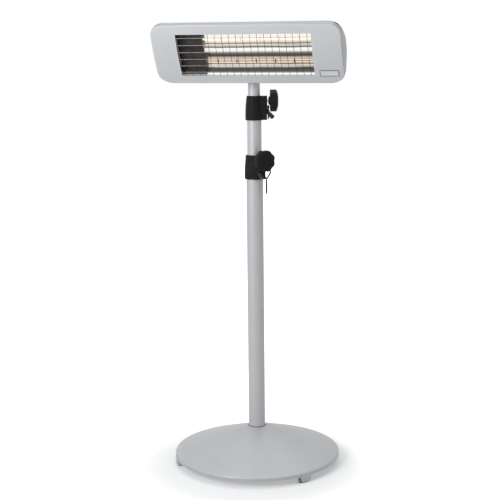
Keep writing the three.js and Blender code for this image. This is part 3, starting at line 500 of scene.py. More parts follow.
def lathe(outline, sides=96, scale_at=None):
    """A body turned about Z. An outline that starts and ends on the axis is closed there."""
    on_axis = outline[0][0] < 1e-6 and outline[-1][0] < 1e-6
    rings = outline[1:-1] if on_axis else outline
    sections = []
    for r, z in rings:
        ring = []
        for i in range(sides):
            a = 2 * pi * i / sides
            k = scale_at(a, r, z) if scale_at else 1
            ring.append((r * k * cos(a), r * k * sin(a), z))
        sections.append(ring)
    verts, faces = skin(sections, closed=not on_axis, capped=False)
    if on_axis:
        first, last = len(verts), len(verts) + 1
        verts += [(0, 0, outline[0][1]), (0, 0, outline[-1][1])]
        top = (len(sections) - 1) * sides
        faces += [(first, (i + 1) % sides, i) for i in range(sides)]
        faces += [(last, top + i, top + (i + 1) % sides) for i in range(sides)]
    return verts, faces


def sweep(points, radius, sides=12, closed=False):
    """A round wire along points."""
    points = [Vector(p) for p in points]
    n = len(points)
    sections = []
    normal = None
    for i, p in enumerate(points):
        before = points[i - 1] if i or closed else p
        after = points[(i + 1) % n] if i + 1 < n or closed else p
        way = (after - before).normalized()
        if normal is None:
            normal = way.orthogonal().normalized()
        normal = (normal - way * normal.dot(way)).normalized()
        other = way.cross(normal)
        turns = [2 * pi * k / sides for k in range(sides)]
        sections.append([p + (normal * cos(a) + other * sin(a)) * radius for a in turns])
    return skin(sections, closed=closed)


def divided(outline, parts_in):
    """An outline with every edge cut into parts_in(its length) parts."""
    out = []
    for i, point in enumerate(outline):
        last = outline[i - 1]
        parts = parts_in(dist(point, last))
        out += [tuple(a + (b - a) * (k + 1) / parts for a, b in zip(last, point)) for k in range(parts)]
    return out


def prism(outline, x0, x1):
    """An outline of (y, z) points, run along X."""
    return skin([[(x, y, z) for y, z in outline] for x in (x0, x1)])


def joined(parts):
    verts, faces = [], []
    for v, f in parts:
        start = len(verts)
        verts += v
        faces += [tuple(i + start for i in corners) for corners in f]
    return verts, faces


def turn_to(direction):
    return Vector((0, 0, 1)).rotation_difference(Vector(direction).normalized()).to_matrix().to_4x4()


def shifted(x, y, z):
    return Matrix.Translation(Vector((x, y, z)) * MM)


def soften(node, name, voxel_mm, passes):
    """A copy of a CAD node with its edges rounded: remeshed, relaxed and thinned out."""
    made = add_object(name, nodes[node].data.copy())
    grid = made.modifiers.new("grid", "REMESH")
    grid.mode, grid.voxel_size = "VOXEL", voxel_mm * MM
    relax = made.modifiers.new("relax", "SMOOTH")
    relax.factor, relax.iterations = 0.5, passes
    thin = made.modifiers.new("thin", "DECIMATE")
    thin.ratio = 0.5
    bpy.context.view_layer.update()
    graph = bpy.context.evaluated_depsgraph_get()
    final = bpy.data.meshes.new_from_object(made.evaluated_get(graph))
    made.modifiers.clear()
    made.data = final
    shade(final, 50)
    return made


WORLD = Matrix.Identity(4)


# ---------------- base
def saddle_mesh():
    """A foot's saddle, x out from the mast: it hugs the rim and ends in a rounded block."""
    half, steps = FOOT_HALF_WIDTH, 10
    sides = [half * sin(pi / 2 * k / steps) for k in range(-steps, steps + 1)]
    sides = [-half + 0.5] + sides[1:-1] + [half - 0.5]
    sections = []
    for k, y in enumerate(sides):
        ends = k in (0, len(sides) - 1)
        over = max(0, abs(y) - (half - FOOT_CORNER))
        low = FOOT_BOTTOM + FOOT_CORNER - sqrt(FOOT_CORNER ** 2 - over ** 2)
        tuck = 0.6 if ends else 0
        rim = lambda r: sqrt(r * r - y * y)
        inner, outer = FOOT_INNER + tuck, BASE_R + FOOT_LIP - tuck
        wall, under = rim(BASE_R + 0.15), RIM_BOTTOM - GAP
        sections.append([(x, y, z) for x, z in (
            (wall, FOOT_TOP), (rim(outer - 0.5), FOOT_TOP - 1.6), (rim(outer), FOOT_TOP - 3),
            (rim(outer), low + 5), (rim(outer - 0.6), low + 2.2), (rim(outer - 2.6), low + 0.5 + tuck),
            (rim(outer - 5), low + tuck), (inner + 4, low + tuck), (inner + 1, low + 1),
            (inner, low + 4), (inner, under), (wall, under),
        )])
    return skin(sections)


def glider_mesh():
    """The glider about its own axis: a roller in the saddle, with a ring that stands out at one end. Its
    black end ring is painted shade for the dark gap round the grey plug.
    """
    end, r = FOOT_HALF_WIDTH + GLIDER_PROUD, GLIDER_RADIUS
    outline = fillet([
        (0, end - 4), (5.2, end - 4, 0.2), (5.4, end - 0.4, 0.3), (5.8, end, 0.2), (r - 0.3, end, 0.3),
        (r, end - 1, 0.4), (r, -9, 0.6), (r - 1, -9.6, 0.4), (0, -9.6),
    ], 3, closed=False)
    verts, faces = lathe(outline, 48)
    return [(x, min(y, GLIDER_AXIS_Z), -z) for x, y, z in verts], faces


def glider_plug_mesh():
    end = FOOT_HALF_WIDTH + GLIDER_PROUD
    outline = fillet([
        (0, end - 3.9), (5, end - 3.9, 0.2), (5.1, end - 1.2, 0.5), (4, end - 0.5, 0.6), (0, end - 0.3),
    ], 3, closed=False)
    verts, faces = lathe(outline, 32)
    return [(x, y, -z) for x, y, z in verts], faces


def build_base():
    rim_top = RIM_BOTTOM + RIM_HEIGHT
    root_r = LOWER_R + GROMMET_WALL + 0.2
    cone_top = rim_top + CONE_RISE
    slope = CONE_RISE / (BASE_R - root_r)
    under = lambda r: rim_top - COVER_WALL + (BASE_R - COVER_WALL - r) * slope
    outline = fillet([
        (BASE_R - COVER_WALL, RIM_BOTTOM, 0.6),
        (BASE_R, RIM_BOTTOM, 0.9),
        (BASE_R, rim_top, 4.5),
        (root_r + 6, cone_top - 6 * slope, 12),
        (root_r, cone_top, 0.6),
        (root_r, under(root_r), 0.4),
        (BASE_R - COVER_WALL, under(BASE_R - COVER_WALL) - 0.6, 3),
    ])
    skirt = divided(outline, lambda span: max(1, round(span / 14)))
    piece("base_cover_shell", lathe(skirt, 192), WORLD, 40, "base", base_shade_coat, "silver_paint", "base_cover")

    inner, neck = LOWER_R + 0.1, root_r - 0.1
    ring = fillet([
        (inner, cone_top - 5, 0.3), (neck, cone_top - 5, 0.3), (neck, cone_top + 1, 0.3),
        (inner, cone_top + 1.3, 0.2),
    ], 3)
    piece("mast_grommet", lathe(ring, 96), WORLD, 40, "base", seal_grey, "black_rubber", "cover_grommet")

    for k, deg in enumerate(FOOT_DEGS, 1):
        place = Matrix.Rotation(radians(deg), 4, "Z")
        piece(f"saddle_{k}", saddle_mesh(), place, 32, "base", base_shade_coat, "silver_paint",
              f"foot_saddle_{k}")
        axle = place @ shifted(GLIDER_AXIS_R, 0, GLIDER_AXIS_Z) @ turn_to((0, 1, 0))
        # Painted shade: the black glider ring stands for the dark gap at the foot's end.
        piece(f"glider_{k}", glider_mesh(), axle, 38, "base", rubber, "black_rubber", f"foot_glider_{k}")
        piece(f"glider_plug_{k}", glider_plug_mesh(), axle, 38, "base", foot_grey, "black_rubber")


# ---------------- mast
def tube_piece(name, node, body, radius, bottom, top):
    inner = radius - TUBE_WALL
    outline = fillet([
        (inner, bottom, 0.4), (radius, bottom, 0.6), (radius, top, 0.6), (inner, top, 0.4),
    ], 3)
    walls = divided(outline, lambda span: 24 if span > 50 else 1)
    piece(name, lathe(walls, 96), WORLD, 40, body, silver, "silver_paint", node)


def build_mast():
    lower_top, middle_top = (COLLARS[label]["z"] + COLLAR_SEAT for label in ("lower", "upper"))
    tube_piece("mast_lower", "lower_tube", "base", LOWER_R, LOWER_BOTTOM, lower_top)
    tube_piece("mast_middle", "mid_tube", "mid_mast", MID_R, MID_BOTTOM, middle_top)
    tube_piece("mast_top", "top_tube", "top_mast", TOP_R, TOP_BOTTOM, TOP_END)


# ---------------- collars
def knob_mesh(radius, neck, start, knob_face, end, turn=0.0):
    """A star knob about Z: a conical neck, a lobed rim and a domed face with a shallow ring."""
    outline = fillet([
        (0, start), (neck, start, 0.6), (neck * 1.7, knob_face - 0.2, 2), (radius, knob_face, 2.2),
        (radius * 0.995, end - 6, 3.6), (radius * 0.72, end - 2.4, 9), (radius * 0.46, end - 0.75, 0.5),
        (radius * 0.445, end - 1.2, 0.3), (radius * 0.42, end - 1.2, 0.3), (radius * 0.40, end - 0.5, 0.5),
        (0, end),
    ], 4, closed=False)
    reach = radius * 0.5

    def lobe(a, r, z):
        depth = 0.075 * max(0, min(1, (r - reach) / (radius - reach))) ** 2 if z > knob_face - 1 else 0
        hollow = (0.5 - 0.5 * cos(KNOB_LOBES * (a + turn))) ** 1.3
        return 1 - depth * hollow

    return lathe(outline, 16 * KNOB_LOBES, lobe)


def grip_mesh():
    """The ribbed finger grip of the catch, about Z."""
    root_r, plain = 4.9, 2.6
    outline = [(0, CATCH_START, 0), (root_r, CATCH_START, 0.3), (root_r, CATCH_START + plain, 0.3)]
    ribs, groove = 6, 0.35
    pitch = (CATCH_LENGTH - plain - 3) / ribs
    for k in range(ribs):
        z = CATCH_START + plain + 0.2 + k * pitch
        outline += [(CATCH_R, z, 0.3), (CATCH_R, z + pitch * 0.6, 0.3)]
        outline += [(CATCH_R - groove, z + pitch * 0.7, 0.1), (CATCH_R - groove, z + pitch * 0.9, 0.1)]
    end = CATCH_START + CATCH_LENGTH
    outline += [(CATCH_R, end - 2.6, 0.5), (CATCH_R - 0.4, end - 0.4, 0.8), (CATCH_R - 1.4, end, 0.4)]
    outline += [(CATCH_R - 1.8, end - 0.5, 0.2), (0, end - 0.6)]
    return lathe(fillet(outline, 3, closed=False), 40)


def button_mesh():
    """The ribbed thumb pad on the end of the catch's grip: a plate with three bars across it."""
    end = CATCH_START + CATCH_LENGTH
    pad = [(0, end - 1), (4.6, end - 1, 0.2), (4.6, end + 0.1, 0.3), (0, end + 0.1)]
    parts = [lathe(fillet(pad, 3, closed=False), 40)]
    for x in (-2.7, 0, 2.7):
        half = sqrt(4.3 ** 2 - x * x) - 0.3
        left, right, top = x - 0.75, x + 0.75, end + 0.8
        side = fillet([(left, end, 0), (left, top, 0.3), (right, top, 0.3), (right, end, 0)], 3)
        parts.append(skin([[(px, y, pz) for px, pz in side] for y in (-half, half)]))
    return joined(parts)


def ring_mesh():
    """The teardrop tether ring, in the plane x = 0."""
    lean = asin((RING_R - RING_TIP_R) / (RING_WAIST_Z - RING_TIP_Z))
    at = lambda z, r, a: (0, r * cos(a), z + r * sin(a))
    right = [at(RING_WAIST_Z, RING_R, -lean * (1 - i / 10)) for i in range(11)]
    top = [at(RING_Z, RING_R, pi * i / 30) for i in range(31)]
    left = [at(RING_WAIST_Z, RING_R, pi + lean * i / 10) for i in range(11)]
    tip = [at(RING_TIP_Z, RING_TIP_R, pi + lean + (pi - 2 * lean) * i / 12) for i in range(13)]
    return sweep(right + top + left + tip, RING_STRAND, 12, closed=True)


def pin_mesh():
    """The safety pin: its eye's centre at the origin, its shank down -Z."""
    shank = lathe(fillet([
        (0, -PIN_LENGTH), (PIN_R - 1, -PIN_LENGTH, 0.4), (PIN_R, -PIN_LENGTH + 1.4, 0.5),
        (PIN_R, -9, 0.5), (PIN_R - 0.5, -8.4, 0.2), (PIN_R - 0.5, -7.4, 0.2), (PIN_R, -6.8, 0.5),
        (PIN_R - 0.3, -3.4, 0.4), (0, -3.2),
    ], 3, closed=False), 28)
    middle, wire = (EYE_R + EYE_HOLE_R) / 2, (EYE_R - EYE_HOLE_R) / 2
    loop = [(middle * cos(pi * i / 20), 0, middle * sin(pi * i / 20)) for i in range(40)]
    return joined([shank, sweep(loop, wire, 10, closed=True)])


def barrel(body, place, tube_r):
    """Draws the collar's round wall in a little towards both ends, so that it swells at its middle."""
    back = place.inverted()
    for vertex in body.data.vertices:
        p = back @ vertex.co / MM
        r = hypot(p.x, p.y)
        bore_r = tube_r + 0.8 if p.z < COLLAR_SEAT + 2 else tube_r - 2.5
        share = max(0, min(1, (r - bore_r) / 2))
        if not share or (p.x > 0 and abs(p.y) < BLOCK_HALF_WIDTH + 1.5):
            continue
        pull = 0.5 + 1.4 * ((p.z - BARREL_Z) / BARREL_HALF) ** 2
        k = (r - share * pull) / r
        vertex.co = place @ (Vector((p.x * k, p.y * k, p.z)) * MM)
    body.data.update()


def build_spring(label):
    """The catch's return spring, copied from its CAD node; the real spring shortens against its bush as the
    catch is pulled.
    """
    node = f"{label}_catch_spring"
    spring = add_object(f"{label}_return_spring", nodes[node].data.copy())
    dress(spring, COLLARS[label]["body"], zinc, "zinc_steel", node)
    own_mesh(spring)


def build_collar(label):
    c = COLLARS[label]
    place = shifted(0, 0, c["z"]) @ Matrix.Rotation(radians(c["deg"]), 4, "Z")
    body = soften(f"{label}_collar", f"{label}_clamp_body", 0.55, 4)
    barrel(body, place, c["outer"])
    dress(body, c["body"], black, "black_plastic", f"{label}_collar")
    knob = knob_mesh(KNOB_R, NECK_R, KNOB_START, KNOB_FACE, KNOB_END, radians(c["knob_turn"]))
    piece(f"{label}_star_knob", knob, place @ turn_to((1, 0, 0)) @ shifted(-SCREW_Z, 0, 0), 38,
          f"{label}_knob", black, "black_plastic", f"{label}_knob")
    slant = place @ shifted(BLOCK_REACH, CATCH_SIDE, CATCH_Z) @ turn_to((1, 0, -1))
    piece(f"{label}_pull_grip", grip_mesh(), slant, 38, f"{label}_catch", grip_grey, "black_plastic",
          f"{label}_catch_grip")
    build_spring(label)
    piece(f"{label}_grip_button", button_mesh(), slant, 38, f"{label}_catch", button_grey, "black_plastic")
    piece(f"{label}_tether_loop", ring_mesh(), place @ shifted(RING_PLANE, RING_SIDE, 0), 60,
          f"{label}_ring", black, "black_plastic", f"{label}_tether_ring")
    if label == "lower":
        drop = EYE_HOLE_R - RING_WIRE - GAP
        pin_place = place @ shifted(RING_PLANE, RING_SIDE, RING_TIP_Z - RING_TIP_R - drop)
    else:
        pin_place = place @ shifted(c["outer"] + PIN_OFFSET, PIN_LENGTH - BLOCK_HALF_WIDTH - 1, PIN_HOLE_Z)
        pin_place = pin_place @ turn_to((0, 1, 0))
    piece(f"{label}_locking_pin", pin_mesh(), pin_place, 38, f"{label}_pin", black_steel, "black_steel",
          f"{label}_safety_pin")


# ---------------- head
HOUSING = (
    shifted(0, PIVOT_Y, PIVOT_Z)
    @ Matrix.Rotation(radians(TILT_DEG), 4, "X")
    @ shifted(HEAD_X, -PIVOT_DEPTH, 0)
)


def arc(z):
    """How far the bowed face stands back at a height on the head."""
    return ARC_R - sqrt(ARC_R ** 2 - z * z)


def rect_loop(x0, x1, z0, z1, corner, tall=None, along_x=44, along_z=16, arc_steps=10, top=1.0):
    """A rectangle's points with elliptical corners, the same number whatever its size."""
    corner = max(corner, 1e-3)
    tall = corner if tall is None else max(tall, 1e-3)
    wide_top, tall_top = corner * top, tall * top
    out = []
    for cx, cz, rx, rz, start, count in (
        (x1 - wide_top, z1 - tall_top, wide_top, tall_top, 0, along_x),
        (x0 + wide_top, z1 - tall_top, wide_top, tall_top, 90, along_z),
        (x0 + corner, z0 + tall, corner, tall, 180, along_x),
        (x1 - corner, z0 + tall, corner, tall, 270, along_z),
    ):
        curve = [
            (cx + rx * cos(radians(start + 90 * k / arc_steps)),
             cz + rz * sin(radians(start + 90 * k / arc_steps)))
            for k in range(arc_steps + 1)
        ]
        out.append((curve, count))
    points = []
    for i, (curve, count) in enumerate(out):
        points += curve
        a, b = Vector(curve[-1]), Vector(out[(i + 1) % 4][0][0])
        points += [tuple(a.lerp(b, k / count)) for k in range(1, count)]
    return points


def head_loop(inset):
    half_x, half_z = HEAD_HALF_X - inset, HEAD_HALF_Z - inset
    return rect_loop(-half_x, half_x, -half_z, half_z, CORNER_LONG - inset, CORNER_TALL - inset,
                     top=TOP_SQUARE)


def build_bezel():
    back = arc(HEAD_HALF_Z) + RIM_DEPTH
    edge = BEZEL_EDGE
    window = rect_loop(WINDOW_LEFT, WINDOW_RIGHT, -WINDOW_HALF_Z, WINDOW_HALF_Z, 0.8)
    rings = [[(x, back, z) for x, z in head_loop(1.0)], [(x, back - 0.3, z) for x, z in head_loop(0.3)]]
    rings.append([(x, back - 1, z) for x, z in head_loop(0)])
    rings.append([(x, arc(z) + edge, z) for x, z in head_loop(0)])
    for k in range(1, 7):
        a = pi / 2 * k / 6
        inset = edge * (1 - cos(a))
        rings.append([(x, arc(z) + edge * (1 - sin(a)), z) for x, z in head_loop(inset)])
    start = head_loop(edge)
    for k in range(1, 9):
        t = k / 8
        rings.append([
            (x + (wx - x) * t, arc(z + (wz - z) * t), z + (wz - z) * t)
            for (x, z), (wx, wz) in zip(start, window)
        ])
    rings.append([(x, arc(z) + BEZEL_WALL, z) for x, z in window])
    inner = head_loop(BEZEL_WALL + 2)
    for k in (4, 8):
        t = k / 8
        rings.append([
            (wx + (x - wx) * t, arc(wz + (z - wz) * t) + BEZEL_WALL, wz + (z - wz) * t)
            for (x, z), (wx, wz) in zip(inner, window)
        ])
    rings.append([(x, arc(z) + BEZEL_WALL + 2, z) for x, z in head_loop(BEZEL_WALL)])
    rings.append([(x, back, z) for x, z in head_loop(BEZEL_WALL)])
    piece("front_frame", skin(rings, closed=True), HOUSING, 32, "head", face, "face_paint", "bezel")


def build_shell():
    front = arc(HEAD_HALF_Z) + RIM_DEPTH + GAP
    turn = front + SHELL_TURN
    first = HEAD_HALF_Z - SHELL_HALF_Z
    bulge = 4 * (SHELL_MID_Z - (HEAD_HALF_Z + SHELL_HALF_Z) / 2)

    def section(depth, inset):
        t = max(0.0, (depth - turn) / (SHELL_DEPTH - turn))
        hx = HEAD_HALF_X + (SHELL_HALF_X - HEAD_HALF_X) * t - inset
        hz = HEAD_HALF_Z - first * t + bulge * t * (1 - t) - inset
        corner = CORNER_LONG + (SHELL_CORNER - CORNER_LONG) * t - inset
        tall = CORNER_TALL + (SHELL_CORNER - CORNER_TALL) * t - inset
        return [(x, depth, z) for x, z in rect_loop(-hx, hx, -hz, hz, corner, tall, top=TOP_SQUARE)]

    def moved(ring, depth):
        return [(x, depth, z) for x, _, z in ring]

    depth = SHELL_DEPTH - turn
    stations = [front + 1, turn] + [turn + depth * k / 12 for k in range(1, 12)]
    outer = [moved(section(front, 1.0), front), moved(section(front, 0.3), front + 0.3)]
    outer += [section(d, 0) for d in stations]
    back = []
    for k in range(7):
        a = pi / 2 * k / 6
        inset = SHELL_ROUND * (1 - cos(a))
        back.append(moved(section(SHELL_DEPTH, inset), SHELL_DEPTH - SHELL_ROUND * (1 - sin(a))))
    inner = [section(d, SHELL_WALL) for d in [front] + stations]
    inner.append(moved(section(SHELL_DEPTH, SHELL_WALL + SHELL_ROUND), SHELL_DEPTH - SHELL_WALL))
    parts = (("rear_housing", "rear_shell", -CAP_SEAM_X, CAP_SEAM_X),
             ("housing_end_left", "end_cap_left", -HEAD_HALF_X - CAP_REACH, -CAP_SEAM_X - GAP),
             ("housing_end_right", "end_cap_right", CAP_SEAM_X + GAP, HEAD_HALF_X + CAP_REACH))
    for name, node, x0, x1 in parts:
        bm = bmesh.new()
        n = len(outer[0])
        rings = outer + back
        count = len(rings)
        grid = [[bm.verts.new([c * MM for c in p]) for p in ring] for ring in rings + inner[::-1]]
        total = len(grid)
        for s in range(total):
            if s == count - 1:
                continue
            below, above = grid[s], grid[(s + 1) % total]
            for i in range(n):
                bm.faces.new((below[i], below[(i + 1) % n], above[(i + 1) % n], above[i]))
        bm.faces.new(grid[count - 1])
        bm.faces.new(grid[count][::-1])
        for x, way in ((x0, -1), (x1, 1)):
            cut = bmesh.ops.bisect_plane(bm, geom=bm.verts[:] + bm.edges[:] + bm.faces[:], dist=1e-6,
                                         plane_co=(x * MM, 0, 0), plane_no=(way, 0, 0), clear_outer=True)
            edges = [e for e in cut["geom_cut"] if isinstance(e, bmesh.types.BMEdge)]
            if edges:
                bmesh.ops.triangle_fill(bm, edges=edges, use_beauty=True)
        bmesh.ops.recalc_face_normals(bm, faces=bm.faces)
        mesh = bpy.data.meshes.new(name)
        bm.to_mesh(mesh)
        bm.free()
        shade(mesh, 30)
        dress(add_object(name, mesh, HOUSING), "head", shell_shade_paint, "silver_paint", node)


def build_face_marks():
    """A dark strip of painted shade in the corner's seam gap, and the short crease near the window's
    corner, whose dark colour is painted shade.
    """
    seam = arc(HEAD_HALF_Z) + RIM_DEPTH + GAP / 2
    rx, rz = CORNER_LONG * TOP_SQUARE, CORNER_TALL * TOP_SQUARE
    rows = []
    for k in range(13):
        a = radians(SEAM_SHADE_FROM + SEAM_SHADE_SPAN * k / 12)
        taper = sin(pi * k / 12)
        way = Vector((cos(a) / rx, sin(a) / rz)).normalized()
        at = Vector((HEAD_HALF_X - rx + rx * cos(a), HEAD_HALF_Z - rz + rz * sin(a)))
        half, up = 0.3 + 2.0 * taper, 0.05 + 0.35 * taper
        low, high = at - way * 1.2, at + way * up
        rows.append([(low.x, seam - half, low.y), (high.x, seam - half * 0.7, high.y),
                     (high.x, seam + half * 0.7, high.y), (low.x, seam + half, low.y)])
    # Painted shade: a dark strip where the seam's gap shows.
    piece("corner_seam_shade", skin(rows), HOUSING, 30, "head", rubber, "black_rubber")
    points = []
    for k in range(11):
        t = k / 10
        x, z = CREASE_X + CREASE_RUN * t, CREASE_Z + CREASE_RISE * t
        points.append((x, arc(z) + 0.45 - 0.3 * sin(pi * t), z))
    piece("face_crease", sweep(points, 0.55, 8), HOUSING, 60, "head", face_shade, "face_paint")


def build_grille():
    depth = lambda z: arc(z) + BEZEL_WALL + GAP + WIRE_R
    reach = 5
    half = WINDOW_HALF_Z + reach
    rows = []
    for k in range(MESH_ROWS):
        z = MESH_TOP - MESH_Z * k
        points = [(x, depth(z), z) for x in (WINDOW_LEFT - reach, WINDOW_RIGHT + reach)]
        rows.append(sweep(points, WIRE_R * 0.8, 8))
    edge = rect_loop(WINDOW_LEFT - reach, WINDOW_RIGHT + reach, -half, half, 3, 20, 12, 4)
    rows.append(sweep([(x, depth(z), z) for x, z in edge], WIRE_R, 8, closed=True))
    columns = []
    x = WINDOW_LEFT + MESH_X * 0.6
    while x < WINDOW_RIGHT - MESH_X * 0.3:
        zs = [-half + 2 * half * k / 24 for k in range(25)]
        columns.append(sweep([(x, depth(z) + 1.4 * WIRE_R, z) for z in zs], WIRE_R * 0.7, 8))
        x += MESH_X
    piece("wire_guard", joined(rows), HOUSING, 60, "head", guard_metal, "zinc_steel", "grille")
    piece("wire_guard_columns", joined(columns), HOUSING, 60, "head", column_shade_metal, "zinc_steel")


def band_stops(bands, low, high):
    """Ramp stops from (place, colour) pairs in millimetres, over the range low..high."""
    return [((z - low) / (high - low), color) for z, color in bands]


def grey(value):
    return (value, value, value * 1.02)


def warm(value):
    return (value, value * 0.9, value * 0.74)


def amber(value):
    return (value, value * 0.6, value * 0.3)


def cream(value):
    return (value, value * 0.96, value * 0.88)


def reflector_material(lip_depth, lip_z):
    """Polished sheet with painted reflection: each strip of the twin trough glows with what it would
    mirror, set by its place on the profile.
    """
    made = Shader("polished_aluminium", (0.86, 0.87, 0.88), 0.12, 1.0)
    height = made.axis(made.where, "Z")
    on_lip = made.calc("LESS_THAN", height, (0.3 - lip_z) * MM)
    forward = made.calc("SUBTRACT", made.axis(made.where, "Y"), lip_depth * MM)
    along = made.calc("ADD", height, made.calc("MULTIPLY", on_lip, forward))
    ripple = 2.6
    place = made.calc("MULTIPLY_ADD", made.noise(14, 2, 0.5, (1, 0.1, 0.1)), ripple * MM, along)
    low, high = -94, 70
    place = made.map_range(place, (low + ripple / 2) * MM, (high + ripple / 2) * MM)
    # Painted reflection and lamp light: the glow bands stand for what the trough mirrors.
    lamp_glow_and_painted_light = band_stops([
        (-86, grey(0.6)), (-81, grey(0.88)), (-77, grey(0.95)), (-72.5, grey(0.47)), (-68.5, grey(0.06)),
        (-59.4, grey(0.05)), (-57.4, warm(0.5)), (-54.5, warm(0.86)), (-52.5, warm(0.62)),
        (-50, amber(0.13)), (-48, amber(0.26)), (-46, warm(0.68)), (-44, warm(0.88)), (-38.5, warm(1)),
        (-36, warm(0.54)), (-33, warm(0.57)), (-29.5, warm(0.27)), (-26, amber(0.07)), (-11, grey(0.06)),
        (-5, grey(0.28)), (0.4, grey(0.78)), (6, grey(0.97)), (7.8, grey(0.1)), (9.4, grey(0.1)),
        (11.6, warm(0.84)), (14, warm(0.95)), (16, amber(0.11)), (20.6, warm(0.76)), (26, cream(0.95)),
        (60, cream(0.95)),
    ], low, high)
    made.lamp_glow_and_painted_light(made.ramp(place, lamp_glow_and_painted_light))
    # Painted shade: the mirror's colour is darkened in bands so that it reflects the lights less there.
    mirror_bands_painted_shade = band_stops([
        (-92, grey(0.2)), (-70, grey(0.1)), (-64, grey(0.03)), (-40, grey(0.02)), (-34, grey(0.03)),
        (-28, grey(0.05)), (-18, grey(0.08)), (-6, grey(0.14)), (3, grey(0.2)), (8, grey(0.08)),
        (13, grey(0.02)), (36, grey(0.02)), (60, grey(0.06)),
    ], low, high)
    made.link(made.ramp(place, mirror_bands_painted_shade), made.shader.inputs["Base Color"])
    lines = made.noise(90, 4, 0.6, (0.02, 1, 1))
    made.roughen(lines, 0.07, 0.2)
    made.bump(lines, 0.05, 0.5)
    return made.material


def build_reflector():
    vertex = LAMP_DEPTH + FOCUS
    edge = LAMP_Z + HALF_TROUGH
    front = arc(edge) + BEZEL_WALL + 2 * GAP + 2
    steps = 72
    path = [(front, -edge)]
    for k in range(steps + 1):
        z = -edge + 2 * edge * k / steps
        path.append((vertex - (abs(z) - LAMP_Z) ** 2 / (4 * FOCUS), z))
    path.append((front, edge))
    back = [(y + SHEET, z) for y, z in path[2:-2]]
    lip = path[1][0] + SHEET
    back = [(front, -edge - SHEET), (lip, -edge - SHEET), *back, (lip, edge + SHEET), (front, edge + SHEET)]
    polished = reflector_material(vertex - HALF_TROUGH ** 2 / (4 * FOCUS), edge)
    shape = prism(path + back[::-1], REFLECTOR_LEFT, REFLECTOR_RIGHT)
    piece("twin_reflector", shape, HOUSING, 30, "head", polished, "polished_aluminium", "reflector")


def glow_material(name, hot):
    """A filament that glows between the reflector's ends and is dark in the seals beyond."""
    made = Shader(name, (0.3, 0.2, 0.12), 0.4)
    reach = LAMP_HALF + 3
    place = made.map_range(made.axis(made.where, "Z"), -reach * MM, reach * MM)
    made.lamp_glow_and_painted_light(made.ramp(place, band_stops([
        (-reach, (0.01, 0.008, 0.006)), (REFLECTOR_LEFT - 4, (0.03, 0.015, 0.008)),
        (REFLECTOR_LEFT + 2, hot), (REFLECTOR_RIGHT - 4, hot), (reach, (0.05, 0.02, 0.01)),
    ], -reach, reach)))
    made.bump(made.noise(800, 2), 0.02, 0.3)
    return made.material


SUPPORTS = {"upper": (-78, -20, 37, 95, 152), "lower": (-97.4, -41, 16.8, 73.9, 129, 186)}
COIL_R = {"upper": 2.4, "lower": 1.1}


def build_lamps():
    hot = {"upper": glow_material("filament_bright", (1, 0.95, 0.86)),
           "lower": glow_material("filament_dim", (0.22, 0.145, 0.08))}
    glass = Shader("quartz", (1, 1, 1), 0.03, 0.0, Transmission_Weight=1.0, IOR=1.12)
    glass.bump(glass.noise(40, 3), 0.05, 0.3)
    # One metal in two copies: pale as lit by the bright lamp, painted light, and dark beside the dim lamp,
    # painted shade.
    lit_and_shaded_supports = {"upper": bare_metal("supports_painted_lamp_light", (0.8, 0.7, 0.55), 0.5),
               "lower": bare_metal("supports_painted_shade", (0.09, 0.05, 0.03), 0.5)}
    r, end, per_turn = LAMP_R, LAMP_HALF, 10
    bulb = fillet([
        (0, -end), (r - 1.5, -end, 0.6), (r, -end + 5, 3), (r, end - 5, 3), (r - 1.5, end, 0.6), (0, end),
    ], 4, closed=False)
    ring = fillet([(2.9, -1, 0.2), (4.9, -1, 0.3), (4.9, 1, 0.3), (2.9, 1, 0.2)], 2)
    for label, z in (("upper", LAMP_Z), ("lower", -LAMP_Z)):
        place = HOUSING @ shifted(0, LAMP_DEPTH, z) @ turn_to((1, 0, 0))
        piece(f"{label}_quartz_tube", lathe(bulb, 32), place, 40, "head", glass.material, "quartz",
              f"lamp_{label}")
        wire = []
        for i in range(int((2 * end - 24) / COIL_PITCH * per_turn)):
            a = 2 * pi * i / per_turn
            along = 12 - end + COIL_PITCH * i / per_turn
            wire.append((COIL_R[label] * cos(a), COIL_R[label] * sin(a), along))
        piece(f"{label}_filament", sweep(wire, COIL_WIRE, 5), place, 60, "head", hot[label], "quartz")
        discs = [lathe([(r, z + x) for r, z in ring], 20) for x in SUPPORTS[label]]
        piece(f"{label}_lamp_supports", joined(discs), place, 40, "head", lit_and_shaded_supports[label], "zinc_steel")


def build_baffle():
    """The dark shield over the lamps' cold ends, with its lower flange, whose brightness is painted
    reflection.
    """
    x0, x1, depth, top, foot = WINDOW_LEFT - 4, REFLECTOR_LEFT - 0.6, 26, 66, -70.6
    steps = 40
    front = [(depth + 1.1 * cos(pi * k / 4.5), top + (foot - top) * k / steps) for k in range(steps + 1)]
    shape = prism(front + [(y + SHEET, z) for y, z in front[::-1]], x0, x1)
    dark = Shader("scorched_steel", (0.03, 0.025, 0.023), 0.5, 0.3)
    dark.tint(dark.noise(55, 5), 0.5, 1.7)
    dark.roughen(dark.noise(90, 4), 0.4, 0.65)
    dark.bump(dark.noise(300, 3), 0.1, 0.5)
    piece("lamp_end_shield", shape, HOUSING, 40, "head", dark.material, "zinc_steel")
    flange = [(10.6, foot - SHEET), (10.6, foot), (depth - 2, foot), (depth - 2, foot - SHEET)]
    piece("shield_flange", prism(flange, x0, x1), HOUSING, 40, "head", flange_painted_reflection, "zinc_steel")


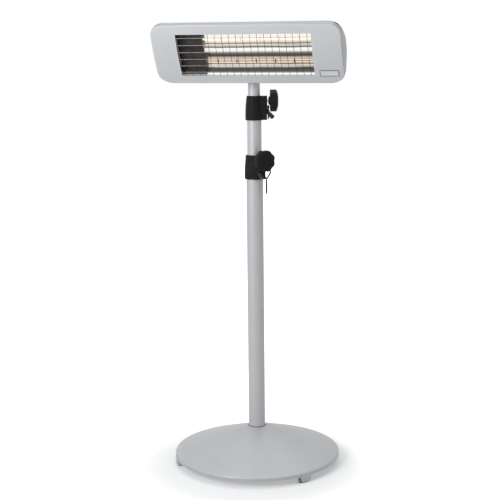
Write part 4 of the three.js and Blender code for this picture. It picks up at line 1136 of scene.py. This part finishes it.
def build_nameplate():
    lean = asin(PLATE_Z / ARC_R)
    place = HOUSING @ shifted(PLATE_X, arc(PLATE_Z) - 2 * GAP, PLATE_Z) @ Matrix.Rotation(-lean, 4, "X")

    def ring(inset, y):
        half_x, half_z = PLATE_HALF_X - inset, PLATE_HALF_Z - inset
        loop = rect_loop(-half_x, half_x, -half_z, half_z, max(0.5, 2 - inset), None, 4, 4, 5)
        return [(x, y, z) for x, z in loop]

    plate = skin([ring(0.3, 0), ring(0.3, -0.5), ring(8, -0.5)])
    piece("blank_plate", plate, place, 30, "head", tag, "plate_silver", "nameplate")
    edge = [(0, 0), (0, -0.8), (0.3, -1.1), (1.3, -1.1), (1.6, -0.7), (1.6, -0.51), (0.31, -0.51)]
    rim = skin([ring(inset, y) for inset, y in edge], closed=True)
    piece("plate_edge", rim, place, 30, "head", plate_rim, "plate_silver")


def flange_painted_reflection_material():
    """Painted reflection: the flange glows as though it mirrored the lit reflector beside it, most of all
    along its back edge.
    """
    made = Shader("flange_painted_reflection", (0.5, 0.49, 0.48), 0.3, 0.6)
    lines = made.noise(90, 4, 0.6, (0.05, 1, 1))
    made.lamp_glow_and_painted_light(made.ramp(lines, [(NOISE_LOW, (0.14, 0.13, 0.12)), (NOISE_HIGH, (0.34, 0.33, 0.31))]))
    made.roughen(lines, 0.22, 0.4)
    made.bump(lines, 0.03, 0.4)
    return made.material


flange_painted_reflection = flange_painted_reflection_material()
guard_metal = bare_metal("guard_wire", (0.30, 0.29, 0.28), 0.35)
# The vertical wires: a much darker copy of the guard wire, painted shade.
column_shade_metal = bare_metal("guard_column_shade", (0.07, 0.062, 0.055), 0.5)
plate_rim = bare_metal("plate_rim", (0.16, 0.17, 0.18), 0.45)
# Painted shade: the dark colour of the crease.
face_shade = powder_coat("face_crease_shade", (0.36, 0.37, 0.38), 0.5, 0.1)


def build_head():
    build_bezel()
    build_shell()
    build_grille()
    build_reflector()
    build_lamps()
    build_baffle()
    build_nameplate()
    build_face_marks()
    tilt = shifted(0, PIVOT_Y, PIVOT_Z) @ turn_to((1, 0, 0))
    start = EAR_OUTER + GAP
    knob = knob_mesh(TILT_KNOB_R, TILT_NECK_R, start, start + 4, start + TILT_KNOB_LENGTH)
    piece("tilt_star_knob", knob, tilt, 38, "tilt_knob", black, "black_plastic", "tilt_knob")
    for node, name, body, material, slot in (
        ("pole_adapter", "tilt_fork", "top_mast", silver, "silver_paint"),
        ("head_bracket", "back_bracket", "head", zinc, "zinc_steel"),
        ("cable_gland", "lead_gland", "head", black, "black_plastic"),
    ):
        dress(soften(node, name, 0.6, 3), body, material, slot, node)


build_base()
build_mast()
build_collar("lower")
build_collar("upper")
build_head()

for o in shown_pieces():
    if "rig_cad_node" in o:
        shade(o.data, 30)
